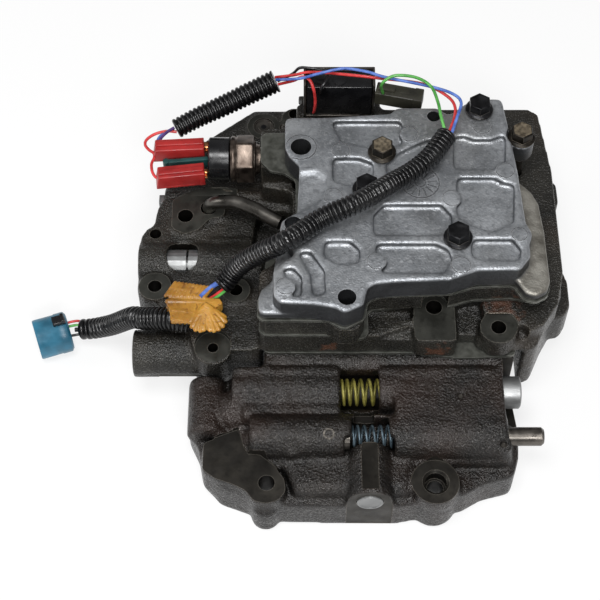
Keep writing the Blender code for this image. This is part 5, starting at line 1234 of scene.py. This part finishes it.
def make_middle_casting():
    drilled = [
        upright_hole((-86.4, 41.5), 4.0, 34, 48.9),
        upright_hole(MOUNT_HOLE, 3.5, 21, 48.9),
        upright_hole((-101.5, 31.2), 3.0, 21, 47.2),
        upright_hole(TAPE_HOLE, 3.4, 34, 48.9),
        upright_hole((-29.7, 109.5), 3.4, 21, 48.9),
        upright_hole(ROUND_BOSS, 2.7, 31, 43.9),
        upright_hole((-74.5, 46.6), 4.3, 39, 48.9),
        upright_hole((38.6, -21.3), 4.0, 46, 59.8),
        upright_hole(RIGHT_LUG, 3.7, 46, 58.8),
    ]
    face = [
        (-93.8, 52.4), (-84, 56.5), (-70, 57), (-65.4, 49), (-66, 41.4), (-74, 39.5), (-79, 33),
        (-86, 29.8), (-93.4, 33.5),
    ]
    forms = [fill for fill, _ in drilled]
    forms += [
        plate(face, mm(44, 49.6), 4),
        post(MOUNT_HOLE, (44, 49.6), 8.4, sides=40),
        post(SOCKET_PLUG, (44, 49.6), 8.8, sides=40),
        post((-29.7, 106), (44, 49.6), 7.4, sides=40),
        post(TAPE_HOLE, (44, 49.6), 7.4, sides=40),
        # Ridge from the tube boss towards the deck, and the swelling over the manual bore
        rod(mm(-66, 57, 46), mm(-36, 54, 46), 4.2 * MM, 3.2 * MM, 24),
        rod(mm(-98, 57, 44.5), mm(-66, 58, 46), 3.4 * MM, 4.2 * MM, 24),
        rod(mm(-76, 17, 42), mm(-46, 9, 42), 9.5 * MM, 7.5 * MM, 32),
        # Faces milled later stand a little proud until then
        plate([(29.4, -40.4), (29.4, -22), (48.8, -22), (48.8, -40.4)], mm(52, 60.3), 0.6),
        post(RIGHT_LUG, (50, 59.3), 9.4, sides=40),
    ]
    milled = [
        plate([(-110, -16), (-110, 8), (-90, 8), (-90, -16)], mm(LEFT_LEVEL, 54), 1),
        plate([(-99, 25), (-99, 59.5), (-60, 59.5), (-60, 35), (-74, 30), (-84, 25)], mm(LEFT_LEVEL, 49.9), 1),
        plate([(-60, 90), (-60, 114), (-20, 116), (-20, 90)], mm(LEFT_LEVEL, 54), 1),
        plate([(-70, -14), (-70, 6), (-50, 6), (-50, -14)], mm(LEFT_LEVEL, 54), 1),
        plate([(28, -46), (28, -12), (49.6, -12), (49.6, -46)], mm(59.75, 64), 1),
        post(RIGHT_LUG, (58.8, 59.7), 9.8, sides=40),
        post(ROUND_BOSS, (43.9, 56), 9.0, sides=40),
        block(mm(-98, -74), mm(-56, -38.8), mm(4, 28.0), bevel=0.4 * MM),
    ]
    bored = [drill for _, drill in drilled]
    bored += [
        rod(mm(-130, 17, 40), mm(-48, 17, 40), 8.05 * MM, sides=56),
        rod(mm(-130, -30, 30), mm(-85, -30, 30), 7.05 * MM, sides=56),
        plate([(-94.8, 8.5), (-79, 8.5), (-79, 25.5), (-94.8, 25.5)], mm(41, 60), 7),
        post(SOCKET_PLUG, (42.6, 60), 5.5, sides=48),
    ]
    hollows = [
        # The block behind the switch stops at the plate's rear edge
        block(mm(-52, -20), mm(78.6, 92), mm(60.1, 80), bevel=0.6 * MM),
    ]
    looks = (DARK_IRON, MILLED_IRON, BORED_IRON_DARK_FOR_SHADE)
    casting("middle_body", hollows, forms, milled, bored, looks, 0.95 * MM, 8, 0.5)


EJECTOR_PADS = (
    (-6.6, 51.6), (27.7, 61.8), (64.7, 66.6), (74.3, 39.1), (47.1, 22.0), (78.4, 0.6), (49.3, -17.3),
    (-10.9, 23.2), (-33.6, -29.2), (9.5, -15.1),
)


def ring_groove(x, y, radius, top, width=0.35, depth=0.35):
    """What cuts a round groove into a level face."""
    outer, inner = (radius + width / 2) * MM, (radius - width / 2) * MM
    low, high = -depth * MM, 1.5 * MM
    profile = [(inner, low), (outer, low), (outer, high), (inner, high), (inner, low)]
    return lathe(profile, Matrix.Translation((x * MM, y * MM, top * MM)), 40)


def make_cover():
    drilled = [
        upright_hole(REAR_HOLE, 5.2, 77, 91.2),
        upright_hole((-5.0, -35.3), 4.4, 77, 90.8),
        upright_hole((40.7, 73.3), 3.4, 82, 90.8),
        upright_hole((-30.4, 7.0), 4.2, 83.5, 90.8),
    ]
    top = COVER_TOP
    forms = [fill for fill, _ in drilled]
    milled = []
    for x, y in EJECTOR_PADS:
        reach = 4.0 if x > 78 else 4.7
        forms.append(post((x, y), (84, top + 0.35), reach, sides=40))
        milled.append(ring_groove(x, y, reach - 0.15, top + 0.1))
    # Raised ring round the rear left hole
    forms.append(post(REAR_HOLE, (84, top + 0.4), 7.2, sides=48))
    milled.append(ring_groove(*REAR_HOLE, 7.7, top, 0.6, 0.4))
    # Date dial: sunk rings with radial strokes, without letters or numbers
    x, y = 32.1, 31.5
    milled += [ring_groove(x, y, r, top, 0.7, 0.6) for r in (9.3, 2.5)]
    for k in range(14):
        turn = Matrix.Translation((x * MM, y * MM, top * MM)) @ Matrix.Rotation(k * math.pi / 7 + 0.1, 4, "Z")
        milled.append(block(mm(3.6, 8.4), mm(-0.5, 0.5), mm(-0.6, 1.5), place=turn))
    # Low places beside the left edge and right of the left bolt
    ledge = [(-33, 37.2), (-19, 38.6), (-14.6, 34.5), (-14.1, 25), (-16.5, 20.5), (-22, 17), (-27, 13.2), (-33, 13.2)]
    dip = [(16, 37), (15.5, 43), (22, 50), (30, 55), (38, 59), (42, 56), (40, 50), (33, 42), (25, 37), (19, 33)]
    hollows = [plate(ledge, mm(89.2, 95), 2), plate(dip, mm(88.4, 95), 2)]
    bored = [drill for _, drill in drilled]
    looks = (ALUMINIUM, ALUMINIUM, ALUMINIUM)
    casting("channel_cover", hollows, forms, milled, bored, looks, 0.7 * MM, 8, 0.6)


make_lower_casting()
make_middle_casting()
make_cover()

# Small light tab on the left edge
low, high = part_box("edge_tab")
tab = block((low.x - 0.3 * MM, high.x + 1.6 * MM), (low.y, high.y), (low.z, high.z + 0.4 * MM), bevel=0.4 * MM)
piece("edge_tab_strip", [tab], [BRIGHT_METAL], stands_for=["edge_tab"])

# CAD nodes kept as they are, with the finish of the real piece
for name, look in (
    ("upper_body", DARK_IRON),
    ("cover_plate", PLATE_STEEL),
    ("upper_plate", PLATE_STEEL),
    ("lower_plate", PLATE_STEEL),
    ("shift_valve_a", GREY_STEEL),
    ("shift_valve_b", GREY_STEEL),
    ("spring_seat", GREY_STEEL),
    ("plunger_sleeve", GREY_STEEL),
    ("sleeve_pin", GREY_STEEL),
    ("plug_pin", GREY_STEEL),
    ("manual_valve", BRIGHT_METAL),
):
    for spot in nodes[name].material_slots:
        spot.material = look

scene.view_settings.view_transform = "Standard"

bpy.context.view_layer.update()
